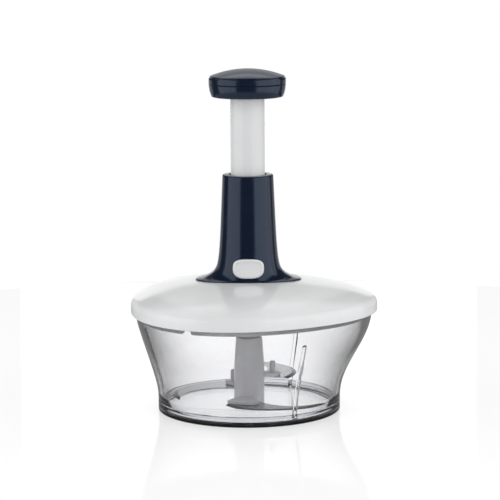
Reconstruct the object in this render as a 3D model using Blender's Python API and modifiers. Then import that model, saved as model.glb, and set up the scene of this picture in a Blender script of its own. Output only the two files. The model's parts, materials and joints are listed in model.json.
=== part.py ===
"""Hand-press food chopper: clear bowl, three-blade rotor and a lid with a press knob.

Pressing the knob pushes a twisted strip through a slotted nut. The nut turns a toothed
spindle, whose hexagonal end turns the blade hub on a pin in the bowl's floor.
Metres, +Z up, the origin at the centre of the bowl's flat underside. The front is -Y.
"""
import math

import bmesh
import bpy
from mathutils import Matrix, Vector

MM = 0.001
GAP = 0.3 * MM            # clearance between touching pieces
SLIDE_GAP = 0.3 * MM      # clearance of pieces that slide on each other
MERGE = 0.00001           # merge distance of modifiers

RIM_STEPS = 42            # facets around the lobed rim pieces
ROUND_STEPS = 30          # facets around the tower, knob and housing
SMALL_STEPS = 20          # facets around small turned pieces
HOLE_STEPS = 12           # facets around screws and their holes

# Three-lobed outline of the rim: radius * (1 + LOBE * cos(3 * angle)), a lobe points to +X.
LOBE = 0.044

# Bowl.
BASE_R = 74.1 * MM        # outer radius at the base
RIM_R = 96.3 * MM         # mean outer radius at the rim
BOWL_H = 85.2 * MM        # height of the rim
BOWL_WALL = 2.6 * MM
FLOOR = 3.0 * MM
FOOT_H = 8.0 * MM
FOOT_T = 2.0 * MM         # radial thickness of the foot ring
FOOT_WALL = 2.2 * MM      # bowl wall inside the foot ring
FLOOR_FILLET = 5.0 * MM
STEP_R = BASE_R - FOOT_T - GAP      # outer radius where the foot ring sits
WELL_R = STEP_R - FOOT_WALL         # inner radius at the foot
RIB_START = 3.0 * MM      # height of the ribs' lower ends above the floor
SWELL_START = FOOT_H + 2.0 * MM     # height where the wall starts to widen
LOBE_START = 0.26 * BOWL_H          # between these heights the round wall becomes three-lobed
LOBE_END = 0.81 * BOWL_H
RIB_R = 1.6 * MM          # half-round ribs inside the wall
RIB_TOP = BOWL_H - 19.0 * MM
RIB_TURNS = (-60.0, 60.0, 180.0)
BOSS_R = 8.0 * MM         # boss on the floor around the pin
BOSS_H = 0.7 * MM

# Lid: a dome over a flat seat in the middle and a rim band outside the bowl.
LID_CLEAR = 1.3 * MM      # between the bowl's rim and the inside of the band
LID_WALL = 2.4 * MM
LID_R = RIM_R + LID_CLEAR + LID_WALL
LID_BOTTOM = BOWL_H - 4.0 * MM
BAND_TOP = BOWL_H + 4.0 * MM
DOME_TOP = BOWL_H + 23.0 * MM       # height of the dome on the axis
DOME_DROP = 13.0 * MM     # fall of the dome's parabola at the rim
DOME_EDGE_DROP = 3.7 * MM # further fall close to the rim
SEAT_R = 26.0 * MM        # flat seat under the tower
DOME_ROUND = 0.45         # share of the radius inside which the dome stays round
SKIRT_CLEAR = 2.5 * MM    # between the skirt and the inside of the bowl's rim
SKIRT_T = 2.2 * MM
SKIRT_DEPTH = 8.5 * MM    # how far the skirt hangs below the bowl's rim
SKIRT_NOTCH = 6.5 * MM    # width of its three notches
SKIRT_R = RIM_R - BOWL_WALL - SKIRT_CLEAR
SEAL_T = 2.0 * MM
LOBE_TURNS = (0.0, 120.0, 240.0)

# Screws.
SCREW_R = 1.5 * MM
HEAD_R = 2.9 * MM
HEAD_H = 2.0 * MM
SCREW_PLAY = 0.3 * MM
EAR_R = 3.4 * MM
EAR_H = 12.0 * MM
ANCHOR_R = 6.4 * MM
ANCHOR_H = 10.6 * MM
ANCHOR_GRIP = 4.2 * MM    # length of the strip inside its anchor

# Twisted strip.
STROKE = 54.0 * MM        # travel of the press knob
STRIP_W = 6.0 * MM
STRIP_T = 1.5 * MM
STRIP_LEAD = 36.0 * MM    # length of one turn of twist
STRIP_PLAY = 0.5 * MM     # clearance of the strip in the nut's slot
BORE_R = 4.2 * MM         # bore of the spindle, wider than the strip's corner

# Drive housing under the lid, from its flange down to its cover.
FLANGE_TOP = BOWL_H + 17.7 * MM
FLANGE_T = 2.5 * MM
HOUSING_R = 16.0 * MM     # inner radius
HOUSING_WALL = 2.3 * MM
FLANGE_R = HOUSING_R + HOUSING_WALL + 12.7 * MM
LAND_R = FLANGE_R + 3.5 * MM        # flat land under the lid that carries the flange
NUT_H = 10.4 * MM
TOOTH_H = 2.3 * MM
TEETH = 6
DISC_T = 4.0 * MM
DISC_R = HOUSING_R - 1.0 * MM
WASHER_T = 1.5 * MM
BUSH_WALL = 2.0 * MM
BUSH_FLANGE = 4.2 * MM    # height of the bush's head above the cover's collar
COLLAR_RISE = 6.0 * MM    # collar of the cover around the bush
COVER_T = 3.0 * MM
NUT_TOP = FLANGE_TOP - FLANGE_T - WASHER_T - 2.0 * GAP
DISC_TOP = NUT_TOP - NUT_H - GAP - TOOTH_H
DISC_BOTTOM = DISC_TOP - DISC_T
COVER_TOP = DISC_BOTTOM - WASHER_T - BUSH_FLANGE - COLLAR_RISE + 0.7 * MM
HOUSING_BOTTOM = COVER_TOP + GAP
COVER_BOTTOM = COVER_TOP - COVER_T
NECK_R = 9.3 * MM         # neck of the spindle, in the bush
HEX_FLAT = 5.6 * MM       # half width across the spindle's flats
HEX_PLAY = 0.3 * MM
HEX_L = 12.2 * MM         # length of the hexagon inside the hub

# Pin and blade rotor.
PIN_R = 3.0 * MM
PIN_H = 15.0 * MM         # height of the pin above the floor
PIN_SINK = 1.7 * MM       # depth of the pin below the floor's top
HUB_R = 12.4 * MM
HUB_TOP_R = 10.6 * MM
HUB_TOP = COVER_BOTTOM - 8.6 * MM
HUB_SHOULDER = 0.49 * HUB_TOP       # height where the hub starts to taper
HUB_WEB = 2.0 * MM        # web between the pin socket and the bore above it
HEX_BOTTOM = HUB_TOP - HEX_L
PIN_TOP = FLOOR + PIN_H
BLADE_T = 1.2 * MM
BLADE_CLEAR = 2.0 * MM    # between the blade tips and the wall of the bowl
BLADE_REACH = WELL_R - BLADE_CLEAR
BLADE_HEIGHTS = {"lower": 8.0 * MM, "middle": 16.0 * MM, "upper": 25.0 * MM}
BLADE_TURNS = {"lower": 0.0, "middle": 240.0, "upper": 120.0}
BLADE_TIP_ANGLE = -23.6
BLADE_HEEL = (-19.0 * MM, -25.0 * MM)       # the outline's marks, seen from above, front down
BLADE_BELLY = (13.0 * MM, -50.0 * MM)
BLADE_BACK = (33.0 * MM, -34.0 * MM)
BLADE_NECK = (13.5 * MM, -24.0 * MM)
LEAF_POINTS = [(-18.0 * MM, -25.0 * MM), (-9.0 * MM, -29.5 * MM), (2.0 * MM, -32.5 * MM),
               (8.0 * MM, -27.5 * MM)]
ROOT_HALF = 6.0 * MM      # half width of the blade's root in the hub
ROOT_DEPTH = 4.5 * MM     # depth of the root's slot in the hub
PAD_T = 2.6 * MM
PAD_HALF = 6.5 * MM
PAD_REACH = 19.5 * MM     # radius of the centre of the pad's round end
PAD_ANGLE = -108.0        # direction of the pad in the blade's own frame
PEG_R = 2.4 * MM
PEG_H = 9.4 * MM

# Plunger tube.
TUBE_R = 13.85 * MM
TUBE_WALL = 1.85 * MM
TUBE_PLATE = 2.5 * MM     # closed top of the tube
STOP_R = TUBE_R + 1.75 * MM         # collar that stops the tube under the guide
STOP_H = 7.5 * MM
LID_HOLE = STOP_R + 1.0 * MM
PRESS_LEFT = 2.3 * MM     # between the pressed tube and the housing's flange
WINDOW_W = 9.6 * MM       # window in the tube that the latch enters
WINDOW_H = 7.6 * MM

# Tower on the lid.
TOWER_H = 84.3 * MM
TOWER_TOP_R = TUBE_R + 6.75 * MM
TOWER_SPREAD = 3.6 * MM   # how much the straight part widens down to the foot
TOWER_WALL = 2.4 * MM
TOWER_PLATE = 3.0 * MM    # thickness of the tower's top
TOWER_HOLE = TUBE_R + 1.15 * MM
FOOT_A = 43.0 * MM        # half width of the tower's foot, left to right
FOOT_B = 28.0 * MM        # half depth of the tower's foot
FOOT_EDGE = 2.6 * MM
BOSS_TALL = 12.0 * MM     # screw bosses inside the tower
TOWER_BOSS_R = 3.4 * MM

# Knob.
KNOB_LEFT = 8.4 * MM      # between the pressed knob and the tower
KNOB_R = 31.1 * MM
KNOB_BOTTOM_R = 28.9 * MM
KNOB_WALL = 2.5 * MM
KNOB_H = 22.5 * MM
KNOB_SEAM_H = 10.5 * MM   # height of the seam between the knob's two shells
TUBE_IN_KNOB = 5.0 * MM

# Return spring.
SPRING_R = TUBE_R - 4.85 * MM
SPRING_WIRE = 0.7 * MM
SPRING_TURNS = 9
SPRING_SEAT_T = 1.2 * MM

# Lock button on the tower's front.
BUTTON_RISE = 11.0 * MM   # its centre above the lid's seat
BUTTON_A = 12.5 * MM
BUTTON_B = 7.75 * MM
BUTTON_FULL = 3.0         # 2 makes the button an ellipse, more fills its corners
BUTTON_PLAY = 0.35 * MM
BUTTON_PROUD = 0.7 * MM
KEEPER_HALF = 6.5 * MM
KEEPER_LIP = 2.2 * MM
KEEPER_T = 1.4 * MM
TONGUE_TIP = STOP_R + 0.5 * MM
TONGUE_H = 3.0 * MM

COLOURS = {
    "clear_smoke": ((0.62, 0.63, 0.66), 0.08, 0.0),
    "dark_foot": ((0.03, 0.032, 0.036), 0.45, 0.0),
    "steel": ((0.55, 0.56, 0.58), 0.22, 1.0),
    "hub_grey": ((0.42, 0.42, 0.43), 0.35, 0.0),
    "lid_white": ((0.62, 0.63, 0.64), 0.16, 0.0),
    "skirt_grey": ((0.34, 0.34, 0.35), 0.3, 0.0),
    "seal_grey": ((0.42, 0.43, 0.44), 0.6, 0.0),
    "navy": ((0.006, 0.010, 0.023), 0.14, 0.0),
    "tube_white": ((0.62, 0.63, 0.64), 0.22, 0.0),
    "inner_white": ((0.6, 0.6, 0.58), 0.4, 0.0),
    "bronze": ((0.5, 0.3, 0.12), 0.35, 1.0),
}

chopper = bpy.data.collections.new("press_chopper")
cutters = bpy.data.collections.new("press_chopper_cutters")


def dome_height(radius):
    """Height of the lid's outer surface over the dome."""
    t = radius / LID_R
    return DOME_TOP - DOME_DROP * t ** 2 - DOME_EDGE_DROP * t ** 8


SEAT_Z = dome_height(SEAT_R)
TOWER_TOP = SEAT_Z + TOWER_H
BUTTON_Z = SEAT_Z + BUTTON_RISE
TUBE_BOTTOM = FLANGE_TOP + PRESS_LEFT + STROKE
STOP_TOP = TUBE_BOTTOM + STOP_H
GUIDE_TOP = TOWER_TOP - TOWER_PLATE - GAP
GUIDE_BOTTOM = STOP_TOP + GAP
KNOB_BOTTOM = TOWER_TOP + STROKE + KNOB_LEFT
KNOB_SEAM = KNOB_BOTTOM + KNOB_SEAM_H
KNOB_TOP = KNOB_BOTTOM + KNOB_H
TUBE_TOP = KNOB_BOTTOM + TUBE_IN_KNOB
STRIP_BOTTOM = DISC_BOTTOM
FLANGE_LOW = FLANGE_TOP - FLANGE_T
SCREW_RING = HOUSING_R + HOUSING_WALL + 2.2 * MM
COVER_SCREWS = [(SCREW_RING * math.cos(math.radians(a)), SCREW_RING * math.sin(math.radians(a)))
                for a in (30.0, 150.0, 270.0)]
# The tower's screws stand left, right and behind, clear of the hole and of the housing.
BOSS_SIDE = max(LID_HOLE + 7.9 * MM, HOUSING_R + 5.6 * MM)
BOSS_REAR = max(LID_HOLE + 4.6 * MM, HOUSING_R + 5.2 * MM)
TOWER_SCREWS = [(BOSS_SIDE, 0.0), (-BOSS_SIDE, 0.0), (0.0, BOSS_REAR)]


# ---------------------------------------------------------------- shared helpers

def smoothstep(low, high, value):
    """Smooth 0 to 1 ramp between two limits."""
    t = min(max((value - low) / (high - low), 0.0), 1.0)
    return t * t * (3.0 - 2.0 * t)


def material(slot):
    """Principled material of one colour slot, made once."""
    found = bpy.data.materials.get(slot)
    if found:
        return found
    colour, roughness, metallic = COLOURS[slot]
    made = bpy.data.materials.new(slot)
    made.use_nodes = True
    shader = made.node_tree.nodes["Principled BSDF"]
    shader.inputs["Base Color"].default_value = (*colour, 1.0)
    shader.inputs["Roughness"].default_value = roughness
    shader.inputs["Metallic"].default_value = metallic
    return made


def add_object(name, mesh, slot=None):
    """Puts a mesh in the scene: a part when it has a material slot, otherwise a cutter."""
    made = bpy.data.objects.new(name, mesh)
    if slot:
        chopper.objects.link(made)
        mesh.materials.clear()
        mesh.materials.append(material(slot))
    else:
        cutters.objects.link(made)
        made.hide_render = True
        made.display_type = "WIRE"
    return made


def from_bmesh(name, bm, slot=None):
    """Object from a bmesh whose faces are turned outward first."""
    bmesh.ops.recalc_face_normals(bm, faces=bm.faces)
    mesh = bpy.data.meshes.new(name)
    bm.to_mesh(mesh)
    bm.free()
    return add_object(name, mesh, slot)


def turned(name, profile, slot=None, steps=RIM_STEPS):
    """Turned solid: (radius, height) points run down the outer side and, when hollow, up the inner one."""
    mesh = bpy.data.meshes.new(name)
    points = [(radius, 0.0, height) for radius, height in profile]
    edges = [(i, i + 1) for i in range(len(points) - 1)]
    on_axis = profile[0][0] == 0.0 and profile[-1][0] == 0.0
    if not on_axis:
        edges.append((len(points) - 1, 0))
    mesh.from_pydata(points, edges, [])
    made = add_object(name, mesh, slot)
    screw = made.modifiers.new("turn", "SCREW")
    screw.axis = "Z"
    screw.angle = 2.0 * math.pi
    screw.steps = steps
    screw.render_steps = steps
    screw.use_merge_vertices = True
    screw.merge_threshold = MERGE
    screw.use_smooth_shade = True
    return made


def baked(made):
    """Replaces an object's mesh by its evaluated one, closed and facing out."""
    bpy.context.view_layer.update()
    evaluated = made.evaluated_get(bpy.context.evaluated_depsgraph_get())
    mesh = bpy.data.meshes.new_from_object(evaluated)
    bm = bmesh.new()
    bm.from_mesh(mesh)
    bmesh.ops.remove_doubles(bm, verts=bm.verts, dist=MERGE)
    bmesh.ops.recalc_face_normals(bm, faces=bm.faces)
    bm.to_mesh(mesh)
    bm.free()
    made.modifiers.clear()
    made.data = mesh
    return made


def boolean(made, cutter, operation="DIFFERENCE"):
    """Cuts or joins a solid by another and keeps the result on the object."""
    modifier = made.modifiers.new(operation.lower(), "BOOLEAN")
    modifier.operation = operation
    modifier.solver = "EXACT"
    modifier.object = cutter
    baked(made)
    bpy.data.objects.remove(cutter)
    return made


def lobed(made, amount):
    """Pushes a turned solid's points out at the three lobes; amount(radius, height) is the share."""
    baked(made)
    for vertex in made.data.vertices:
        x, y, z = vertex.co
        radius = math.hypot(x, y)
        share = 1.0 + amount(radius, z) * math.cos(3.0 * math.atan2(y, x))
        vertex.co = (x * share, y * share, z)
    return made


def box(name, centre, size, slot=None, turn=0.0):
    """Box centred at a point, turned about the vertical axis through the origin."""
    bm = bmesh.new()
    bmesh.ops.create_cube(bm, size=1.0)
    bmesh.ops.scale(bm, vec=size, verts=bm.verts)
    bmesh.ops.translate(bm, vec=centre, verts=bm.verts)
    bmesh.ops.rotate(bm, matrix=Matrix.Rotation(turn, 3, "Z"), verts=bm.verts)
    return from_bmesh(name, bm, slot)


def rod(name, radius, bottom, top, slot=None, centre=(0.0, 0.0), steps=SMALL_STEPS):
    """Upright cylinder, or a prism when it has few steps."""
    bm = bmesh.new()
    placed = Matrix.Translation((*centre, (bottom + top) / 2))
    bmesh.ops.create_cone(bm, cap_ends=True, segments=steps, radius1=radius, radius2=radius,
                          depth=top - bottom, matrix=placed)
    return from_bmesh(name, bm, slot)


def plate(name, outline, bottom, top, slot=None):
    """Flat plate of a closed outline in the XY plane."""
    bm = bmesh.new()
    ring = [bm.verts.new((x, y, bottom)) for x, y in outline]
    face = bm.faces.new(ring)
    raised = bmesh.ops.extrude_face_region(bm, geom=[face])
    moved = [item for item in raised["geom"] if isinstance(item, bmesh.types.BMVert)]
    bmesh.ops.translate(bm, vec=(0.0, 0.0, top - bottom), verts=moved)
    if not any(len(f.verts) == len(outline) and f.calc_center_median().z < bottom + MERGE
               for f in bm.faces):
        bm.faces.new(ring)
    return from_bmesh(name, bm, slot)


def loft(name, rings, slot=None, closed=False):
    """Skin through rings of equal length; closed joins the last ring to the first."""
    bm = bmesh.new()
    rows = [[bm.verts.new(point) for point in ring] for ring in rings]
    count = len(rings[0])
    pairs = list(zip(rows, rows[1:]))
    if closed:
        pairs.append((rows[-1], rows[0]))
    for low, high in pairs:
        for i in range(count):
            j = (i + 1) % count
            bm.faces.new((low[i], low[j], high[j], high[i]))
    if not closed:
        bm.faces.new(rows[0])
        bm.faces.new(rows[-1])
    return from_bmesh(name, bm, slot)


def twisted_bar(name, width, thickness, bottom, top, slot=None):
    """Flat bar twisted left-handed about Z, one turn in each lead, with an edge along its middle."""
    steps_per_turn = 16
    cuts = math.ceil((top - bottom) / STRIP_LEAD * steps_per_turn)
    rings = []
    for i in range(cuts + 1):
        height = bottom + (top - bottom) * i / cuts
        twist = Matrix.Rotation(-2.0 * math.pi * height / STRIP_LEAD, 3, "Z")
        corners = [(-1, -1), (0, -1), (1, -1), (1, 1), (0, 1), (-1, 1)]
        rings.append([twist @ Vector((sx * width / 2, sy * thickness / 2, height))
                      for sx, sy in corners])
    return loft(name, rings, slot)


def coil(name, bottom, top):
    """Compression spring: closed end turns, then an even rise between them."""
    per_turn = 8
    end_turns = 0.8
    end_rise = 2.3 * SPRING_WIRE
    span = top - bottom - 2.0 * (SPRING_WIRE + end_rise)
    curve = bpy.data.curves.new(name, "CURVE")
    curve.dimensions = "3D"
    curve.bevel_depth = SPRING_WIRE
    curve.bevel_resolution = 2
    curve.use_fill_caps = True
    spline = curve.splines.new("POLY")
    count = SPRING_TURNS * per_turn + 1
    spline.points.add(count - 1)
    for i in range(count):
        turn = i / per_turn
        left = SPRING_TURNS - turn
        ends = min(turn / end_turns, 1.0) + 1.0 - min(left / end_turns, 1.0)
        rise = min(max((turn - end_turns) / (SPRING_TURNS - 2.0 * end_turns), 0.0), 1.0)
        height = bottom + SPRING_WIRE + ends * end_rise + rise * span
        angle = 2.0 * math.pi * turn
        spline.points[i].co = (SPRING_R * math.cos(angle), SPRING_R * math.sin(angle), height, 1.0)
    path = bpy.data.objects.new(name + "_path", curve)
    cutters.objects.link(path)
    bpy.context.view_layer.update()
    graph = bpy.context.evaluated_depsgraph_get()
    mesh = bpy.data.meshes.new_from_object(path.evaluated_get(graph))
    bpy.data.objects.remove(path)
    return baked(add_object(name, mesh, "steel"))


def screw(name, centre, head_bottom, tip):
    """Pan-head screw driven upward: head, then shank up to the tip."""
    head_top = head_bottom + HEAD_H
    made = turned(name, [
        (0.0, tip), (SCREW_R, tip - SCREW_R * 0.5), (SCREW_R, head_top), (HEAD_R, head_top),
        (HEAD_R, head_bottom + HEAD_H * 0.4), (HEAD_R * 0.7, head_bottom), (0.0, head_bottom),
    ], "steel", HOLE_STEPS)
    made.location = (*centre, 0.0)
    return made


def polar(radius, degrees):
    """Point in the XY plane."""
    angle = math.radians(degrees)
    return (radius * math.cos(angle), radius * math.sin(angle))


# ---------------------------------------------------------------- bowl and foot

def wall_radius(height):
    """Mean outer radius of the bowl's wall."""
    return BASE_R + (RIM_R - BASE_R) * smoothstep(SWELL_START, BOWL_H, height)


def wall_lobe(_radius, height):
    """Share by which the bowl's wall follows the three lobes."""
    return LOBE * smoothstep(LOBE_START, LOBE_END, height)


def bowl():
    """Clear bowl with a floor, a boss for the pin and three ribs inside the wall."""
    rows = 8
    levels = [SWELL_START + (BOWL_H - SWELL_START) * i / rows for i in range(rows + 1)]
    boss_top = FLOOR + BOSS_H
    hole_r = PIN_R + GAP
    hole_bottom = FLOOR - PIN_SINK - GAP
    inner = [(0.0, hole_bottom), (hole_r, hole_bottom), (hole_r, boss_top), (BOSS_R, boss_top),
             (BOSS_R + BOSS_H, FLOOR)]
    for i in range(4):
        angle = math.pi / 2 * i / 3
        inner.append((WELL_R - FLOOR_FILLET * (1.0 - math.sin(angle)),
                      FLOOR + FLOOR_FILLET * (1.0 - math.cos(angle))))
    inner += [(wall_radius(z) - BOWL_WALL, z) for z in levels[1:]]
    outer = [(wall_radius(z), z) for z in reversed(levels)]
    outer += [(BASE_R, FOOT_H + GAP), (STEP_R, FOOT_H + GAP), (STEP_R, 0.0), (0.0, 0.0)]
    made = lobed(turned("bowl", inner + outer, "clear_smoke"), wall_lobe)
    for turn in RIB_TURNS:
        boolean(made, bowl_rib(turn), "UNION")
    return made


def rib_radius(height, turn):
    """Radius of the wall's inner face where a rib runs."""
    if height < SWELL_START:
        return WELL_R
    lobe = 1.0 + wall_lobe(0.0, height) * math.cos(3.0 * math.radians(turn))
    return (wall_radius(height) - BOWL_WALL) * lobe


def bowl_rib(turn):
    """Half-round rib that follows the inside of the wall, sunk by half into it."""
    rings = []
    rows = 7
    base = FLOOR + RIB_START
    x, y = polar(1.0, turn)
    for i in range(rows + 1):
        height = base + (RIB_TOP - base) * i / rows
        width = RIB_R if i < rows else RIB_R * 0.5
        radius = rib_radius(height, turn)
        ring = []
        for cosine, sine in unit_circle(8):
            across = width * cosine
            inward = radius + width * sine
            ring.append((inward * x - across * y, inward * y + across * x, height))
        rings.append(ring)
    return loft("rib", rings)


def foot_ring():
    """Dark non-slip ring pressed around the foot of the bowl."""
    inner = BASE_R - FOOT_T
    edge = 0.25 * FOOT_T
    return turned("foot_ring", [
        (inner, FOOT_H), (BASE_R - edge, FOOT_H), (BASE_R, FOOT_H - edge), (BASE_R, edge),
        (BASE_R - edge, 0.0), (inner, 0.0),
    ], "dark_foot")


def bowl_pin():
    """Steel pin in the floor's boss that carries the rotor."""
    return turned("bowl_pin", [
        (0.0, PIN_TOP), (PIN_R * 0.5, PIN_TOP - PIN_R * 0.1), (PIN_R, PIN_TOP - PIN_R * 0.5),
        (PIN_R, FLOOR - PIN_SINK), (0.0, FLOOR - PIN_SINK),
    ], "steel", SMALL_STEPS)


# ---------------------------------------------------------------- blade rotor

def rotor():
    """Hub and three scimitar blades with their pads; they turn about one axis."""
    axis = bpy.data.objects.new("rotor_axis", None)
    cutters.objects.link(axis)
    hub = blade_hub()
    hub.parent = axis
    root_r = HUB_R - ROOT_DEPTH
    for key, height in BLADE_HEIGHTS.items():
        turn = math.radians(BLADE_TURNS[key])
        slot = box("root_slot", (0.0, -(root_r + HUB_R) / 2, height),
                   (2.0 * (ROOT_HALF + GAP), HUB_R - root_r + 2.0 * MM, BLADE_T + 2.0 * GAP), turn=turn)
        boolean(hub, slot)
        for piece in (blade(key, height), pad(key, height)):
            piece.rotation_euler = (0.0, 0.0, turn)
            piece.parent = axis


def blade_hub():
    """Tapered hub: pin socket below, bore for the strip and a hexagonal socket on top."""
    bottom = FLOOR + BOSS_H + GAP
    edge = 0.6 * MM
    socket_top = PIN_TOP + 1.0 * MM
    bore_bottom = socket_top + HUB_WEB
    bore = BORE_R + edge
    made = turned("blade_hub", [
        (0.0, bore_bottom), (bore, bore_bottom), (bore, HUB_TOP), (HUB_TOP_R - edge, HUB_TOP),
        (HUB_TOP_R, HUB_TOP - 2.0 * edge), (HUB_R, HUB_SHOULDER), (HUB_R, bottom + edge),
        (HUB_R - edge, bottom), (PIN_R + GAP, bottom), (PIN_R + GAP, socket_top), (0.0, socket_top),
    ], "hub_grey", ROUND_STEPS)
    baked(made)
    corner = (HEX_FLAT + HEX_PLAY) / math.cos(math.pi / 6)
    return boolean(made, rod("socket", corner, HEX_BOTTOM - GAP, HUB_TOP + MM, steps=6))


def arc_through(start, middle, end, steps):
    """Points of the circular arc through three points."""
    first, second, third = Vector(start), Vector(middle), Vector(end)
    cross = 2.0 * (second - first).cross(third - first)
    to_second = (second - first).length_squared
    to_third = (third - first).length_squared
    leg, side = second - first, third - first
    centre = first + Vector((side.y * to_second - leg.y * to_third,
                             leg.x * to_third - side.x * to_second)) / cross
    radius = (first - centre).length
    angles = [math.atan2(p.y - centre.y, p.x - centre.x) for p in (first, second, third)]
    full = 2.0 * math.pi
    sweep = (angles[2] - angles[0]) % full
    if (angles[1] - angles[0]) % full > sweep:
        sweep -= full
    return [centre + Vector((math.cos(angles[0] + sweep * i / steps),
                             math.sin(angles[0] + sweep * i / steps))) * radius
            for i in range(steps + 1)]


def blade_outline():
    """Crescent from the hub to the tip: the leading edge is one arc, the back another."""
    tip = polar(BLADE_REACH, BLADE_TIP_ANGLE)
    lead = arc_through(BLADE_HEEL, BLADE_BELLY, tip, 14)
    back = arc_through(tip, BLADE_BACK, BLADE_NECK, 8)
    root = HUB_R - ROOT_DEPTH + GAP
    shoulder = HUB_R + GAP
    neck = [(ROOT_HALF, -shoulder), (ROOT_HALF, -root), (-ROOT_HALF, -root), (-ROOT_HALF, -shoulder)]
    return [tuple(p) for p in lead + back[1:]] + neck


def blade(key, height):
    """Steel blade in its own frame, its root pointing at the axis from the front."""
    return plate(key + "_blade", blade_outline(), height - BLADE_T / 2, height + BLADE_T / 2, "steel")


def pad(key, height):
    """Plastic pad on a blade: a leaf on the lowest, a tab with a peg on the others."""
    bottom = height + BLADE_T / 2 + GAP
    top = bottom + PAD_T
    face = HUB_R + GAP
    name = key + "_pad"
    if key == "lower":
        outline = [polar(face, -70.0 - 10.0 * i) for i in range(7)]
        return plate(name, outline + LEAF_POINTS, bottom, top, "hub_grey")
    half = math.degrees(math.asin(PAD_HALF / face))
    outline = [polar(face, PAD_ANGLE + half * (1.0 - i / 2)) for i in range(5)]
    centre = Vector(polar(PAD_REACH, PAD_ANGLE))
    for i in range(9):
        outline.append(tuple(centre + Vector(polar(PAD_HALF, PAD_ANGLE - 90.0 + 180.0 * i / 8))))
    made = plate(name, outline, bottom, top, "hub_grey")
    peg = turned("peg", [
        (0.0, top + PEG_H), (PEG_R * 0.6, top + PEG_H - PEG_R * 0.2), (PEG_R, top + PEG_H - PEG_R * 0.9),
        (PEG_R, top - MM), (0.0, top - MM),
    ], steps=HOLE_STEPS)
    peg.location = (centre.x, centre.y, 0.0)
    return boolean(made, peg, "UNION")


# ---------------------------------------------------------------- drive

def ratchet_teeth(made, upward):
    """Joins saw teeth to a disc: each rises along its back and drops at its steep face."""
    base, tip, sunk = DISC_TOP, DISC_TOP + TOOTH_H, DISC_TOP - MM
    if not upward:
        base, tip, sunk = DISC_TOP + TOOTH_H + GAP, DISC_TOP + GAP, DISC_TOP + TOOTH_H + GAP + MM
    width = 2.0 * math.pi / TEETH * 0.47
    for k in range(TEETH):
        start = 2.0 * math.pi * (k if upward else k + 0.5) / TEETH
        steep, back = (start, start + width) if upward else (start + width, start)
        rings = []
        for radius in (NECK_R + 0.2 * MM, DISC_R - MM):
            rings.append([(radius * math.cos(angle), radius * math.sin(angle), height)
                          for angle, height in ((steep, sunk), (back, sunk), (back, base), (steep, tip))])
        boolean(made, loft("tooth", rings), "UNION")
    return made


def drive_nut():
    """Nut with a twisted slot for the strip and saw teeth below."""
    bottom = DISC_TOP + TOOTH_H + GAP
    made = rod("drive_nut", HOUSING_R - 0.4 * MM, bottom, NUT_TOP, "inner_white")
    ratchet_teeth(made, False)
    slot = twisted_bar("nut_slot", STRIP_W + 2.0 * STRIP_PLAY, STRIP_T + 2.0 * STRIP_PLAY,
                       DISC_TOP - 2.0 * MM, NUT_TOP + 2.0 * MM)
    return boolean(made, slot)


def drive_spindle():
    """Toothed disc, neck and hexagonal end in one hollow piece."""
    neck_low = HUB_TOP + 2.0 * GAP
    made = turned("drive_spindle", [
        (0.0, DISC_TOP), (DISC_R, DISC_TOP), (DISC_R, DISC_BOTTOM), (NECK_R, DISC_BOTTOM),
        (NECK_R, neck_low), (0.0, neck_low),
    ], "inner_white", SMALL_STEPS)
    baked(made)
    corner = HEX_FLAT / math.cos(math.pi / 6)
    boolean(made, rod("hexagon", corner, HEX_BOTTOM, neck_low + MM, steps=6), "UNION")
    boolean(made, rod("bore", BORE_R, HEX_BOTTOM - MM, DISC_TOP + MM))
    return ratchet_teeth(made, True)


def ring(name, inner, outer, bottom, top, slot):
    """Flat ring."""
    return turned(name, [(outer, top), (outer, bottom), (inner, bottom), (inner, top)], slot, SMALL_STEPS)


def screw_hole(made, place, bottom, top):
    """Upright screw hole through a piece."""
    return boolean(made, rod("hole", SCREW_R + SCREW_PLAY, bottom, top, None, place, HOLE_STEPS))


def drive_housing():
    """Cup under the lid that holds the nut and the spindle, with a flange screwed to the tower."""
    wall_r = HOUSING_R + HOUSING_WALL
    strip_hole = BORE_R + 0.8 * MM
    made = turned("drive_housing", [
        (FLANGE_R, FLANGE_TOP), (FLANGE_R, FLANGE_LOW), (wall_r, FLANGE_LOW),
        (wall_r, HOUSING_BOTTOM), (HOUSING_R, HOUSING_BOTTOM), (HOUSING_R, FLANGE_LOW),
        (strip_hole, FLANGE_LOW), (strip_hole, FLANGE_TOP),
    ], "inner_white", ROUND_STEPS)
    baked(made)
    for place in COVER_SCREWS:
        ear = rod("ear", EAR_R, HOUSING_BOTTOM, HOUSING_BOTTOM + EAR_H, None, place, HOLE_STEPS)
        boolean(made, ear, "UNION")
        screw_hole(made, place, HOUSING_BOTTOM - MM, HOUSING_BOTTOM + EAR_H - 3.0 * MM)
    for place in TOWER_SCREWS:
        screw_hole(made, place, FLANGE_LOW - MM, FLANGE_TOP + MM)
    return made


def housing_cover():
    """Plate that closes the housing, with a collar for the bush."""
    wall_r = HOUSING_R + HOUSING_WALL
    bush_r = NECK_R + 2.0 * GAP + BUSH_WALL
    collar_r = bush_r + 2.0 * MM
    made = turned("housing_cover", [
        (wall_r, COVER_TOP), (wall_r, COVER_BOTTOM), (bush_r, COVER_BOTTOM),
        (bush_r, COVER_TOP + COLLAR_RISE), (collar_r, COVER_TOP + COLLAR_RISE), (collar_r, COVER_TOP),
    ], "inner_white", ROUND_STEPS)
    baked(made)
    for place in COVER_SCREWS:
        boolean(made, rod("ear", EAR_R, COVER_BOTTOM, COVER_TOP, None, place, HOLE_STEPS), "UNION")
        screw_hole(made, place, COVER_BOTTOM - MM, COVER_TOP + MM)
    return made


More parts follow.
